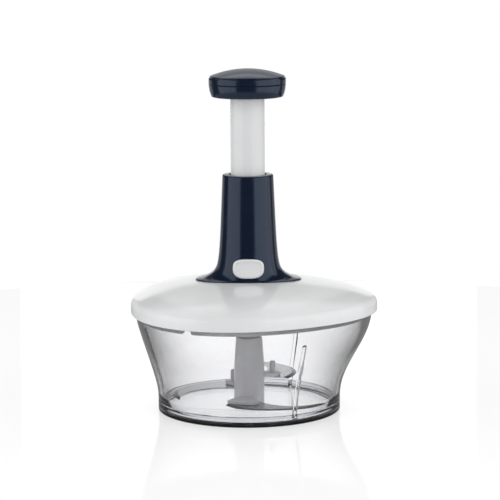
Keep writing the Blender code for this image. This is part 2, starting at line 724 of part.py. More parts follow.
def spindle_bush():
    """Bronze bush with a head, in the cover's collar."""
    inner = NECK_R + GAP
    outer = inner + BUSH_WALL
    head_low = COVER_TOP + COLLAR_RISE + GAP
    head_top = DISC_BOTTOM - WASHER_T - 2.0 * GAP
    low = COVER_BOTTOM + GAP
    return turned("spindle_bush", [
        (outer + 2.0 * MM, head_top), (outer + 2.0 * MM, head_low), (outer, head_low), (outer, low),
        (inner, low), (inner, head_top),
    ], "bronze", SMALL_STEPS)


def drive():
    """Everything inside the housing and the screws that hold it."""
    drive_housing()
    housing_cover()
    spindle_bush()
    washer_top = DISC_BOTTOM - GAP
    ring("thrust_washer", NECK_R + GAP, DISC_R - MM, washer_top - WASHER_T, washer_top, "steel")
    drive_spindle()
    drive_nut()
    ring("nut_washer", BORE_R + 0.8 * MM, DISC_R - 3.0 * MM, NUT_TOP + GAP, FLANGE_LOW - GAP, "steel")
    cover_tip = HOUSING_BOTTOM + EAR_H - 4.5 * MM
    tower_tip = SEAT_Z + BOSS_TALL - 6.0 * MM
    for k, place in enumerate(COVER_SCREWS, 1):
        screw("cover_screw_%d" % k, place, COVER_BOTTOM - GAP - HEAD_H, cover_tip)
    for k, place in enumerate(TOWER_SCREWS, 1):
        screw("tower_screw_%d" % k, place, FLANGE_LOW - GAP - HEAD_H, tower_tip)


# ---------------------------------------------------------------- lid

def lid_lobe(radius, _height):
    """Share by which the lid follows the lobes: none at its centre, all at its rim."""
    return LOBE * smoothstep(DOME_ROUND * LID_R, 0.88 * LID_R, radius)


def rim_lobe(_radius, _height):
    """Full share of the lobes, for the rings at the rim."""
    return LOBE


def lid_profile(offset):
    """Points of the lid's surface from the rim band up to the seat, at an inward offset."""
    shoulder = LID_R - 3.6 * MM
    points = [(LID_R - offset, BAND_TOP - offset * 0.4)]
    points.append((LID_R - 1.2 * MM - offset * 0.8, BAND_TOP + 1.9 * MM - offset * 0.8))
    points.append((shoulder - offset * 0.3, dome_height(shoulder) - offset))
    for share in (0.86, 0.68, 0.50, 0.36):
        points.append((share * LID_R, dome_height(share * LID_R) - offset))
    return points


def lid_cover():
    """Domed lid with a rim band outside the bowl and a hole for the plunger."""
    land_z = FLANGE_TOP + GAP
    profile = [(LID_HOLE, SEAT_Z), (SEAT_R, SEAT_Z)] + lid_profile(0.0)[::-1]
    profile += [(LID_R, LID_BOTTOM), (LID_R - LID_WALL, LID_BOTTOM)] + lid_profile(LID_WALL)[:-1]
    profile += [(LAND_R, land_z), (LID_HOLE, land_z)]
    made = lobed(turned("lid_cover", profile, "lid_white"), lid_lobe)
    for place in TOWER_SCREWS:
        screw_hole(made, place, land_z - MM, SEAT_Z + MM)
    return made


def lid_skirt():
    """Grey ring inside the bowl's rim, its lower edge cut by a notch at each lobe."""
    top = dome_height(SKIRT_R) - LID_WALL - 3.0 * GAP
    bottom = BOWL_H - SKIRT_DEPTH
    inner = SKIRT_R - SKIRT_T
    edge = 0.27 * SKIRT_T
    made = lobed(turned("lid_skirt", [
        (SKIRT_R, top), (SKIRT_R, bottom + edge), (SKIRT_R - edge, bottom),
        (inner + edge, bottom), (inner, bottom + edge), (inner, top),
    ], "skirt_grey"), rim_lobe)
    for turn in LOBE_TURNS:
        size = (24.0 * MM, SKIRT_NOTCH, 11.0 * MM)
        boolean(made, box("notch", (SKIRT_R, 0.0, bottom), size, turn=math.radians(turn)))
    return made


def seal_ring():
    """Soft ring in the lid's channel that sits on the bowl's rim."""
    low = BOWL_H + GAP
    inner = SKIRT_R + 2.0 * GAP
    outer = LID_R - LID_WALL - 2.0 * GAP
    edge = 0.4 * SEAL_T
    return lobed(turned("seal_ring", [
        (outer - edge, low + SEAL_T), (outer, low + SEAL_T - edge), (outer, low), (inner, low),
        (inner, low + SEAL_T),
    ], "seal_grey"), rim_lobe)


# ---------------------------------------------------------------- tower

def tower_section(height):
    """Half width and half depth of the tower at a height."""
    t = (TOWER_TOP - height) / TOWER_H
    straight = TOWER_TOP_R + TOWER_SPREAD * t
    swell = 3.2 * MM
    half_width = straight + swell * t ** 6 + (FOOT_A - straight - swell) * t ** 26
    half_depth = straight + (FOOT_B - straight) * t ** 5
    return half_width, half_depth


def tower_ring(height, wall, follow=False):
    """Oval ring of the tower; at the foot it follows the dome."""
    a, b = tower_section(height)
    points = []
    for cosine, sine in unit_circle(ROUND_STEPS):
        x, y = (a - wall) * cosine, (b - wall) * sine
        z = height
        if follow:
            z = min(dome_height(math.hypot(x, y)), SEAT_Z) + GAP
        points.append((x, y, z))
    return points


def tower():
    """Hollow tower with an oval foot on the dome, a button opening and three screw bosses."""
    foot = SEAT_Z + GAP
    span = TOWER_TOP - foot
    edge = 0.8 * MM
    plate_low = TOWER_TOP - TOWER_PLATE
    rings = [tower_ring(TOWER_TOP, edge), tower_ring(TOWER_TOP - edge, 0.0)]
    rings += [tower_ring(TOWER_TOP - span * share, 0.0) for share in (0.3, 0.6, 0.8, 0.9, 0.95, 0.98)]
    rings += [tower_ring(SEAT_Z, 0.0, True), tower_ring(SEAT_Z, FOOT_EDGE, True)]
    rings.append(tower_ring(foot + 0.04 * span, TOWER_WALL))
    rings += [tower_ring(TOWER_TOP - span * share, TOWER_WALL) for share in (0.91, 0.85, 0.6, 0.3)]
    rings.append(tower_ring(plate_low, TOWER_WALL))
    for height in (plate_low, TOWER_TOP):
        rings.append([(x * TOWER_HOLE, y * TOWER_HOLE, height) for x, y in unit_circle(ROUND_STEPS)])
    made = loft("tower", rings, "navy", closed=True)
    made.data.shade_smooth()
    for place in TOWER_SCREWS:
        boss = rod("boss", TOWER_BOSS_R, foot, foot + BOSS_TALL, None, place, HOLE_STEPS)
        rises = (-GAP, 4.0 * MM, BOSS_TALL + 2.0 * MM)
        keep = loft("keep", [tower_ring(foot + rise, MM) for rise in rises])
        boolean(boss, keep, "INTERSECT")
        boolean(made, boss, "UNION")
        screw_hole(made, place, foot - MM, foot + BOSS_TALL - 4.0 * MM)
    opening = oval_bar("opening", BUTTON_A + BUTTON_PLAY, BUTTON_B + BUTTON_PLAY, -FOOT_A, -LID_HOLE)
    return boolean(made, opening)


def unit_circle(count):
    """Points of the unit circle."""
    angles = [2.0 * math.pi * k / count for k in range(count)]
    return [(math.cos(angle), math.sin(angle)) for angle in angles]


def full_oval(count):
    """Points of the button's unit outline, an oval with full corners."""
    power = 2.0 / BUTTON_FULL
    return [(math.copysign(abs(x) ** power, x), math.copysign(abs(y) ** power, y))
            for x, y in unit_circle(count)]


def oval_bar(name, a, b, front, back):
    """Bar along Y with the button's outline, at the button's height."""
    return loft(name, [[(a * x, y, BUTTON_Z + b * z) for x, z in full_oval(SMALL_STEPS)]
                       for y in (front, back)])


def tower_collar():
    """Guide ring clipped under the tower's top plate; the plunger slides in it."""
    outer = tower_section(GUIDE_TOP)[0] - TOWER_WALL - GAP
    inner = TUBE_R + SLIDE_GAP
    edge = 0.8 * MM
    return turned("tower_collar", [
        (inner, GUIDE_TOP), (outer - edge, GUIDE_TOP), (outer, GUIDE_TOP - edge), (outer, GUIDE_BOTTOM),
        (inner, GUIDE_BOTTOM),
    ], "navy", ROUND_STEPS)


# ---------------------------------------------------------------- plunger and knob

def plunger_tube():
    """White tube closed at its top, with a stop collar below and a window for the latch."""
    inner = TUBE_R - TUBE_WALL
    hole = SCREW_R + SCREW_PLAY
    edge = 0.5 * MM
    plate_low = TUBE_TOP - TUBE_PLATE
    made = turned("plunger_tube", [
        (hole, TUBE_TOP), (TUBE_R - edge, TUBE_TOP), (TUBE_R, TUBE_TOP - edge), (TUBE_R, STOP_TOP),
        (STOP_R, STOP_TOP), (STOP_R, TUBE_BOTTOM), (inner, TUBE_BOTTOM), (inner, plate_low),
        (hole, plate_low),
    ], "tube_white", ROUND_STEPS)
    window_z = BUTTON_Z + STROKE + MM
    window = box("window", (0.0, -TUBE_R, window_z), (WINDOW_W, 0.8 * TUBE_R, WINDOW_H))
    baked(made)
    return boolean(made, window)


def knob_body():
    """Lower shell of the knob with a socket for the tube."""
    socket = TUBE_R + GAP
    web_low = TUBE_TOP + GAP
    web_top = web_low + KNOB_WALL
    hole = SCREW_R + SCREW_PLAY
    belly = KNOB_BOTTOM + 0.66 * KNOB_SEAM_H
    inside = KNOB_R - KNOB_WALL
    return turned("knob_body", [
        (inside - 0.2 * MM, KNOB_SEAM - GAP), (KNOB_R - 0.1 * MM, KNOB_SEAM - GAP),
        (KNOB_R - 0.3 * MM, belly),
        (KNOB_BOTTOM_R + 0.9 * MM, KNOB_BOTTOM + 3.4 * MM), (KNOB_BOTTOM_R, KNOB_BOTTOM + MM),
        (KNOB_BOTTOM_R - MM, KNOB_BOTTOM), (socket, KNOB_BOTTOM), (socket, web_low), (hole, web_low),
        (hole, web_top), (socket + KNOB_WALL, web_top), (socket + KNOB_WALL, KNOB_BOTTOM + KNOB_WALL),
        (KNOB_BOTTOM_R - KNOB_WALL, KNOB_BOTTOM + KNOB_WALL), (inside - 0.5 * MM, belly),
    ], "navy", ROUND_STEPS)


def knob_cap():
    """Domed top of the knob with a lip inside the lower shell."""
    crease_r = KNOB_R - 1.3 * MM
    rise = 5.9 * MM
    crease_z = KNOB_TOP - rise
    top = [(crease_r * share, KNOB_TOP - rise * share ** 2) for share in (0.0, 0.35, 0.65, 0.86, 1.0)]
    under = [(radius * 0.93, height - KNOB_WALL * 1.05) for radius, height in top[::-1]]
    lip_r = KNOB_R - KNOB_WALL - 0.2 * MM - GAP
    lip_low = KNOB_SEAM - 2.2 * MM
    side = [(KNOB_R, crease_z - 2.4 * MM), (KNOB_R - 0.1 * MM, KNOB_SEAM), (lip_r, KNOB_SEAM),
            (lip_r, lip_low), (lip_r - 1.2 * MM, lip_low)]
    return turned("knob_cap", top + side + under, "navy", ROUND_STEPS)


def strip_parts():
    """Twisted strip, the anchor that holds its top end and the screw through the knob."""
    anchor_top = TUBE_TOP - TUBE_PLATE - GAP
    anchor_low = anchor_top - ANCHOR_H
    strip_top = anchor_low + ANCHOR_GRIP
    twisted_bar("twist_strip", STRIP_W, STRIP_T, STRIP_BOTTOM, strip_top, "steel")
    anchor = rod("strip_anchor", ANCHOR_R, anchor_low, anchor_top, "inner_white")
    boolean(anchor, twisted_bar("anchor_slot", STRIP_W + 2.0 * GAP, STRIP_T + 2.0 * GAP,
                                anchor_low - 2.0 * MM, strip_top + GAP))
    screw_hole(anchor, (0.0, 0.0), anchor_top - 5.0 * MM, anchor_top + MM)
    head_low = TUBE_TOP + 2.0 * GAP + KNOB_WALL
    tip = anchor_top - 4.5 * MM
    turned("knob_screw", [
        (0.0, head_low + HEAD_H), (HEAD_R * 0.7, head_low + HEAD_H), (HEAD_R, head_low + HEAD_H * 0.6),
        (HEAD_R, head_low), (SCREW_R, head_low), (SCREW_R, tip + SCREW_R * 0.5), (0.0, tip),
    ], "steel", HOLE_STEPS)


def springs():
    """Return spring between the housing and the tube's closed top, and its seat."""
    seat_low = FLANGE_TOP + GAP
    seat_top = seat_low + SPRING_SEAT_T
    ring("spring_seat", BORE_R + 0.8 * MM, SPRING_R + 2.6 * MM, seat_low, seat_top, "steel")
    coil("return_spring", seat_top + GAP, TUBE_TOP - TUBE_PLATE - GAP)


# ---------------------------------------------------------------- lock button

def button_ring(share, depth):
    """Oval ring on the button's front, which follows the tower's curve."""
    a, b = tower_section(BUTTON_Z)
    points = []
    for x, z in full_oval(SMALL_STEPS):
        across = BUTTON_A * share * x
        front = -b * math.sqrt(1.0 - (across / a) ** 2)
        points.append((across, front - BUTTON_PROUD + depth, BUTTON_Z + BUTTON_B * share * z))
    return points


def lock_button():
    """Oval button with a retaining plate and a latch tongue that points at the tube."""
    top = BUTTON_B + KEEPER_LIP
    narrow_a, narrow_b = [half - TOWER_WALL for half in tower_section(BUTTON_Z + top)]
    keeper_front = 2.0 * GAP - narrow_b * math.sqrt(1.0 - (KEEPER_HALF / narrow_a) ** 2)
    keeper_back = keeper_front + KEEPER_T
    back = [(BUTTON_A * x, keeper_front + 0.2 * MM, BUTTON_Z + BUTTON_B * z)
            for x, z in full_oval(SMALL_STEPS)]
    rims = [(1.0, 0.5), (0.94, 0.0), (0.84, 0.1), (0.78, 0.7), (0.4, 1.3)]
    front = [button_ring(share, depth * MM) for share, depth in rims]
    made = loft("lock_button", [back] + front, "tube_white")
    keeper = box("keeper", (0.0, (keeper_front + keeper_back) / 2, BUTTON_Z),
                 (2.0 * KEEPER_HALF, KEEPER_T, 2.0 * top))
    boolean(made, keeper, "UNION")
    tongue = box("tongue", (0.0, (keeper_back - MM - TONGUE_TIP) / 2, BUTTON_Z),
                 (WINDOW_W - 2.0 * MM, -TONGUE_TIP - keeper_back + MM, TONGUE_H))
    return boolean(made, tongue, "UNION")


def main():
    """Builds every part."""
    for old in list(bpy.data.objects):
        bpy.data.objects.remove(old)
    for group in (chopper, cutters):
        bpy.context.scene.collection.children.link(group)
    bowl()
    foot_ring()
    bowl_pin()
    rotor()
    drive()
    lid_cover()
    lid_skirt()
    seal_ring()
    tower()
    tower_collar()
    plunger_tube()
    knob_body()
    knob_cap()
    strip_parts()
    springs()
    lock_button()


main()
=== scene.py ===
"""Looks of a hand-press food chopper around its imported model.

The script is laid out as an add-on and is run as a script. Metres, +Z up, the front is -Y.
"""
import json
import math

import bmesh
import bpy
from bpy.props import FloatProperty, FloatVectorProperty, IntProperty, PointerProperty
from mathutils import Matrix, Vector


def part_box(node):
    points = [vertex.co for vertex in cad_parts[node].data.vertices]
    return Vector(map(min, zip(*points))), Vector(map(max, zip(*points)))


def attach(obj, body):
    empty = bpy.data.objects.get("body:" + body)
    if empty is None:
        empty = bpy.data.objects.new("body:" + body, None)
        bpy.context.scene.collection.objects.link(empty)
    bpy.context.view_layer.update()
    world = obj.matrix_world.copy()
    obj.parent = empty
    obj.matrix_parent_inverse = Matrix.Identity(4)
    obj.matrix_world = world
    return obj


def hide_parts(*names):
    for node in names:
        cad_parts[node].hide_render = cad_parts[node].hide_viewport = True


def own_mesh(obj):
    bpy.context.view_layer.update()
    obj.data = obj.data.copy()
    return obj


bl_info = {
    "name": "Press Chopper Looks",
    "version": (1, 0, 0),
    "blender": (4, 5, 0),
    "location": "View3D > Sidebar > Chopper",
    "description": "Builds the visible pieces of a hand-press food chopper and its studio",
    "category": "Object",
}

MM = 0.001
MERGE = 0.002 * MM                          # points nearer than this are one point
CLOSE = 0.01 * MM                           # tolerance for picking edges by their place
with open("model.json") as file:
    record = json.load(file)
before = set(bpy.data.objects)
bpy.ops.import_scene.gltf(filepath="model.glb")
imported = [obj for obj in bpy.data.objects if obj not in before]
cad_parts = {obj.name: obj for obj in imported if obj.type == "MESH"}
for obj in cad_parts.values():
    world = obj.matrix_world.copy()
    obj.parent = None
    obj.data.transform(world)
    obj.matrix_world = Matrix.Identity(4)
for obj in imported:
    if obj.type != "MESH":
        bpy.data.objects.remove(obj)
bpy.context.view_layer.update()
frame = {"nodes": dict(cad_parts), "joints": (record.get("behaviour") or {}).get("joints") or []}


def low(node):
    """Lowest corner of a CAD node."""
    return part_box(node)[0]


def high(node):
    """Highest corner of a CAD node."""
    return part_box(node)[1]


# ---------------------------------------------------------------- sizes read from the frame

LOBES = 3
LOBE = 0.044                                # share by which the lobes stand out
RIB_AT = math.radians(60.0)                 # the first rib's place, midway between two lobes
LOBE_SHARE = 1.0 + LOBE
RIM_R = high("bowl").x / LOBE_SHARE
BOWL_H = high("bowl").z
BASE_R = high("foot_ring").x
FOOT_H = high("foot_ring").z
LID_R = high("lid_cover").x / LOBE_SHARE
LID_LOW = low("lid_cover").z
SKIRT_R = high("lid_skirt").x / LOBE_SHARE
SKIRT_LOW = low("lid_skirt").z
SEAT_Z = high("lid_cover").z
TOWER_TOP = high("tower").z
TOWER_H = TOWER_TOP - SEAT_Z
FOOT_A = high("tower").x
FOOT_B = high("tower").y
TUBE_LOW = low("plunger_tube").z
TUBE_TOP = high("plunger_tube").z
KNOB_LOW = low("knob_body").z
KNOB_TOP = high("knob_cap").z
KNOB_R = high("knob_cap").x
HUB_LOW = low("blade_hub").z
HUB_TOP = high("blade_hub").z
HUB_R = high("blade_hub").x
COVER_LOW = low("housing_cover").z
COVER_TOP = low("drive_housing").z
FLANGE_TOP = high("drive_housing").z
FLANGE_R = high("drive_housing").x
BUTTON_A = high("lock_button").x
BUTTON_Z = (low("lock_button").z + high("lock_button").z) / 2

GAP = 0.3 * MM
DOME_TOP = BOWL_H + 23.0 * MM
DOME_FALL = 13.0 * MM                       # how far the dome drops from its middle to its rim
DOME_TUCK = 3.7 * MM                        # the steeper drop close to the rim
HEX_CORNER = 1.0 / math.cos(math.pi / 6)    # a hexagon's corner against its flat
BLADES = {"lower": 0.0, "middle": 240.0, "upper": 120.0}


def smoothstep(start, end, value):
    """Smooth 0 to 1 ramp between two limits."""
    t = min(max((value - start) / (end - start), 0.0), 1.0)
    return t * t * (3.0 - 2.0 * t)


def spaced(start, end, count):
    """Even values from start to end."""
    return [start + (end - start) * i / (count - 1) for i in range(count)]


def dome_height(radius):
    """Height of the lid's outer surface over the dome."""
    t = radius / LID_R
    return DOME_TOP - DOME_FALL * t ** 2 - DOME_TUCK * t ** 8


def wall_radius(height):
    """Mean outer radius of the bowl's wall."""
    return BASE_R + (RIM_R - BASE_R) * smoothstep(FOOT_H + 2.0 * MM, BOWL_H, height)


def wall_lobe(_radius, height):
    """Share by which the bowl follows the lobes."""
    return LOBE * smoothstep(0.26 * BOWL_H, 0.81 * BOWL_H, height)


def lid_lobe(radius, _height):
    """Share by which the lid follows the lobes."""
    return LOBE * smoothstep(0.45 * LID_R, 0.88 * LID_R, radius)


def rim_lobe(_radius, _height):
    """Full share of the lobes."""
    return LOBE


def tower_section(height):
    """Half width and half depth of the tower at a height."""
    t = min(max((TOWER_TOP - height) / TOWER_H, 0.0), 1.0)
    straight = 20.6 * MM + 3.6 * MM * t
    swell = 3.2 * MM
    half_width = straight + swell * t ** 6 + (FOOT_A - straight - swell) * t ** 26
    half_depth = straight + (FOOT_B - straight) * t ** 5
    return half_width, half_depth


def polar(radius, degrees):
    """Point in the XY plane."""
    angle = math.radians(degrees)
    return Vector((radius * math.cos(angle), radius * math.sin(angle)))


# ---------------------------------------------------------------- user sizes and colours

def length(name, description, default):
    """Length property in metres."""
    return FloatProperty(name=name, description=description, default=default, min=0.0,
                         subtype="DISTANCE", unit="LENGTH", precision=5)


def colour(name, description, default):
    """Colour property, linear values."""
    return FloatVectorProperty(name=name, description=description, default=default, size=3,
                               subtype="COLOR", min=0.0, max=1.0)


class ChopperSizes(bpy.types.PropertyGroup):
    """Sizes that a user may change."""

    around: IntProperty(name="Facets around", description="Facets around the large round pieces",
                        default=216, min=48, max=480)
    bowl_wall: length("Bowl wall", "Thickness of the clear bowl's wall", 2.6 * MM)
    rib: length("Rib radius", "Radius of the half-round ribs inside the bowl", 1.9 * MM)
    lid_wall: length("Lid wall", "Thickness of the lid", 2.4 * MM)
    lid_round: length("Lid edge", "Rounding of the lid's outer edge", 4.2 * MM)
    tower_round: length("Tower edge", "Rounding of the tower's top edge", 1.1 * MM)
    grind: length("Blade grind", "Width of the ground edge of a blade", 3.4 * MM)
    softening: length("Softening", "Rounding of small moulded edges", 0.45 * MM)


class ChopperColours(bpy.types.PropertyGroup):
    """Colours that a user may change."""

    navy: colour("Navy", "Tower, collar and knob", (0.0050, 0.0095, 0.0235))
    white: colour("White", "Lid, tube and button", (0.700, 0.705, 0.710))
    clear: colour("Clear", "Tint of the bowl", (0.945, 0.946, 0.955))
    skirt: colour("Skirt", "Ring under the lid", (0.62, 0.62, 0.63))
    hub: colour("Hub", "Blade hub and pads", (0.73, 0.73, 0.75))
    foot: colour("Foot", "Ring around the bowl's foot", (0.085, 0.086, 0.090))
    steel: colour("Steel", "Blades and screws", (0.52, 0.53, 0.545))
    inner: colour("Inner", "Drive parts under the lid", (0.58, 0.58, 0.565))


# ---------------------------------------------------------------- shader maths

class Wire:
    """A socket of a node tree that takes arithmetic."""

    def __init__(self, nodes, socket):
        self.nodes = nodes
        self.socket = socket

    def __add__(self, other):
        return self.nodes.maths("ADD", self, other)

    def __sub__(self, other):
        return self.nodes.maths("SUBTRACT", self, other)

    def __rsub__(self, other):
        return self.nodes.maths("SUBTRACT", other, self)

    def __mul__(self, other):
        return self.nodes.maths("MULTIPLY", self, other)

    def __pow__(self, other):
        return self.nodes.maths("POWER", self, other)

    __radd__ = __add__
    __rmul__ = __mul__


class Nodes:
    """A node tree and the one way in which its nodes are made."""

    def __init__(self, tree):
        self.tree = tree

    def node(self, kind, settings=None, values=(), out=0):
        """New node: its settings first, then values or links of its sockets."""
        made = self.tree.nodes.new(kind)
        for key, value in (settings or {}).items():
            setattr(made, key, value)
        pairs = values.items() if isinstance(values, dict) else enumerate(values)
        for key, value in pairs:
            self.feed(made.inputs[key], value)
        return Wire(self, made.outputs[out]) if made.outputs else made

    def feed(self, socket, value):
        """Links a wire to a socket or sets its value."""
        if isinstance(value, Wire):
            self.tree.links.new(value.socket, socket)
        elif socket.type == "RGBA" and len(value) == 3:
            socket.default_value = (*value, 1.0)
        else:
            socket.default_value = value

    def maths(self, operation, *values):
        """Math node."""
        return self.node("ShaderNodeMath", {"operation": operation}, values)

    def ramp(self, value, start, end, first=0.0, last=1.0):
        """Smooth map of a value's range."""
        return self.node("ShaderNodeMapRange", {"interpolation_type": "SMOOTHSTEP"},
                         [value, start, end, first, last])

    def level(self, factor, first, second):
        """Mix of two numbers."""
        return self.node("ShaderNodeMix", {"data_type": "FLOAT"},
                         {0: factor, 2: first, 3: second})

    def blend(self, factor, first, second):
        """Mix of two colours."""
        return self.node("ShaderNodeMix", {"data_type": "RGBA"},
                         {0: factor, 6: first, 7: second}, 2)

    def ray(self, kind):
        """Whether the ray at work is of a kind, such as Glossy."""
        return self.node("ShaderNodeLightPath", out="Is " + kind + " Ray")


class Finish(Nodes):
    """One material: its Principled shader and the nodes that feed it."""

    def __init__(self, name, **constants):
        self.material = bpy.data.materials.new(name)
        self.material.use_nodes = True
        super().__init__(self.material.node_tree)
        self.shader = self.tree.nodes["Principled BSDF"]
        self.body = Wire(self, self.shader.outputs[0])
        for key, value in constants.items():
            self.shader.inputs[key.replace("_", " ")].default_value = value

    def set(self, key, value):
        """Feeds a socket of the shader."""
        self.feed(self.shader.inputs[key], value)

    def mixed(self, factor, first, second):
        """Mix of two shaders."""
        return self.node("ShaderNodeMixShader", {}, [factor, first, second])

    def surface(self, shader):
        """Makes a shader the material's surface."""
        self.feed(self.tree.nodes["Material Output"].inputs["Surface"], shader)

    def place(self, scale=(1.0, 1.0, 1.0), turn=(0.0, 0.0, 0.0)):
        """Object coordinates, turned and scaled."""
        coordinates = self.node("ShaderNodeTexCoord", out="Object")
        return self.node("ShaderNodeMapping", {},
                         {"Vector": coordinates, "Scale": scale, "Rotation": turn})

    def noise(self, scale, detail=2.0, rough=0.5, stretch=(1.0, 1.0, 1.0),
              turn=(0.0, 0.0, 0.0)):
        """Noise factor on Object coordinates."""
        return self.node("ShaderNodeTexNoise", {}, {
            "Vector": self.place(stretch, turn), "Scale": scale, "Detail": detail,
            "Roughness": rough})

    def bump(self, height, distance, strength=1.0, under=None):
        """Bump of a height; another bump may lie under it."""
        values = {"Strength": strength, "Distance": distance, "Height": height}
        if under:
            values["Normal"] = under
        return self.node("ShaderNodeBump", {}, values)

    def axis(self, index):
        """One of the Object coordinates."""
        coordinates = self.node("ShaderNodeTexCoord", out="Object")
        return self.node("ShaderNodeSeparateXYZ", {}, [coordinates], index)

    def radius(self):
        """Distance from the upright axis."""
        x, y = self.axis(0), self.axis(1)
        return (x * x + y * y) ** 0.5


def tint(base, share):
    """A colour multiplied by a share."""
    return tuple(min(1.0, channel * share) for channel in base)


def scratches(finish, scale, turn, share):
    """Mask of fine straight scratches in one direction."""
    lines = finish.noise(scale, 1.0, 0.4, (1.0, 0.02, 0.03), turn)
    gate = finish.noise(scale * 0.06, 2.0, 0.6)
    return finish.ramp(lines, 0.70, 0.78) * finish.ramp(gate, 0.62 - share, 0.70 - share)


def moulded(name, base, roughness, peel=0.04, wear=0.5, **constants):
    """Glossy moulded plastic: flow marks, handling haze, hairline scratches and orange peel."""
    finish = Finish(name, **constants)
    flow = finish.noise(16.0, 3.0, 0.55, (1.0, 1.0, 0.45))
    speck = finish.noise(2400.0, 1.0, 0.5)
    shade = finish.blend(finish.ramp(flow, 0.35, 0.68), tint(base, 0.955), tint(base, 1.03))
    shade = finish.blend(finish.ramp(speck, 0.64, 0.74) * (0.22 * wear), shade, tint(base, 1.35))
    hair = (scratches(finish, 900.0, (0.3, 0.1, 0.6), 0.02)
            + scratches(finish, 760.0, (0.2, 1.2, 2.1), 0.0))
    haze = finish.ramp(finish.noise(38.0, 4.0, 0.62), 0.46, 0.74)
    finish.set("Base Color", shade)
    finish.set("Roughness", haze * (0.10 * wear) + hair * (0.16 * wear) + roughness)
    skin = finish.bump(finish.noise(420.0, 2.0, 0.5), 0.05 * MM, peel)
    finish.set("Normal", finish.bump(1.0 - hair, 0.02 * MM, 0.35 * wear, skin))
    return finish.material


def satin(name, base, roughness, grain=0.25, **constants):
    """Matt moulded plastic or rubber with a fine spark-eroded grain."""
    finish = Finish(name, **constants)
    cloud = finish.noise(30.0, 4.0, 0.6)
    grit = finish.noise(1900.0, 2.0, 0.6)
    shade = finish.blend(finish.ramp(cloud, 0.32, 0.7), tint(base, 0.92), tint(base, 1.06))
    finish.set("Base Color", shade)
    finish.set("Roughness", finish.ramp(cloud, 0.3, 0.75) * 0.10 + grit * 0.08 + (roughness - 0.07))
    finish.set("Normal", finish.bump(grit, 0.06 * MM, grain))
    return finish.material


def ground_steel(name, base, roughness, turn=0.0, bright=1.0):
    """Stainless sheet with straight grinding marks, a few deeper scratches and water spots."""
    finish = Finish(name, Metallic=1.0)
    marks = finish.noise(1500.0, 3.0, 0.7, (0.03, 1.0, 1.0), (0.0, 0.0, turn))
    deep = scratches(finish, 600.0, (0.0, 0.0, turn + 0.5), 0.06)
    spots = finish.ramp(finish.noise(90.0, 2.0, 0.5), 0.66, 0.70)
    shade = finish.blend(finish.ramp(marks, 0.3, 0.7), tint(base, 0.86 * bright),
                         tint(base, 1.1 * bright))
    shade = finish.blend(spots * 0.35, shade, tint(base, 0.82))
    finish.set("Base Color", shade)
    finish.set("Roughness", marks * 0.14 + deep * 0.2 + spots * 0.1 + (roughness - 0.05))
    finish.set("Normal", finish.bump(marks - deep * 0.6, 0.02 * MM, 0.4))
    return finish.material


def turned_metal(name, base, roughness):
    """Metal with rings left by the lathe."""
    finish = Finish(name, Metallic=1.0)
    rings = finish.node("ShaderNodeTexNoise", {"noise_dimensions": "1D"}, {
        "W": finish.radius() + finish.axis(2), "Scale": 5200.0, "Detail": 2.0,
        "Roughness": 0.6})
    film = finish.ramp(finish.noise(120.0, 3.0, 0.6), 0.42, 0.72)
    finish.set("Base Color", finish.blend(film * 0.5, tint(base, 1.05), tint(base, 0.74)))
    finish.set("Roughness", film * 0.16 + rings * 0.10 + (roughness - 0.04))
    finish.set("Normal", finish.bump(rings, 0.015 * MM, 0.5))
    return finish.material


PLASTIC_IOR = 1.49
FLOOR_HEIGHTS = 3.2 * MM, 6.5 * MM    # the wall's darker tint and its painted edge shade set in between these heights
ASLANT_SHADE = 0.34                          # painted shade: tint of the wall where it is seen aslant
OUTLINE_SHADE = 0.03                        # painted shade: tint of its very edge, a dark painted outline
FOOT_DARK, FOOT_PALE = 0.4, 8.8       # painted shade: tints of the foot at the table and at its top


def clear_plastic(name, base):
    """Clear smoky plastic: faint flow waves, haze near the floor, scratches from use and painted
    shade where the wall is seen aslant.
    """
    finish = Finish(name, Transmission_Weight=1.0, IOR=PLASTIC_IOR)
    height = finish.axis(2)
    aslant = finish.node("ShaderNodeLayerWeight", {}, {"Blend": 0.5}, "Facing")
    waves = finish.noise(26.0, 2.0, 0.5, (1.0, 1.0, 0.5))
    swirl = finish.noise(700.0, 1.0, 0.4, (0.05, 0.05, 1.0))
    used = finish.ramp(height, 0.1 * BOWL_H, 0.5 * BOWL_H, 1.0, 0.1)
    rub = finish.ramp(swirl, 0.68, 0.76) * used
    side = finish.ramp(height, *FLOOR_HEIGHTS)
    # Painted shade: the wall darkens where it is seen aslant, most at its very edge, in place of
    # the dark edges that refraction gives.
    smoke_and_edge_shade = finish.ramp(aslant, 0.06, 0.88) * side
    outline = finish.ramp(aslant, 0.68, 0.86) * side
    shade = finish.blend(finish.ramp(waves, 0.3, 0.7), tint(base, 0.985), tint(base, 1.01))
    for share, level in ((side, 0.935), (smoke_and_edge_shade, ASLANT_SHADE), (outline, OUTLINE_SHADE)):
        shade = finish.blend(share, shade, tint(base, level))
    finish.set("Base Color", shade)
    flow = finish.ramp(waves, 0.5, 0.8)
    finish.set("Roughness", rub * 0.05 + flow * 0.012 + 0.004)
    skin = finish.bump(waves, 0.10 * MM, 0.22)
    finish.set("Normal", finish.bump(rub, 0.01 * MM, 0.15, skin))
    through = finish.node("ShaderNodeBsdfTransparent", {}, {"Color": tint(base, 0.96)})
    finish.surface(finish.mixed(finish.ray("Shadow"), finish.body, through))
    return finish.material


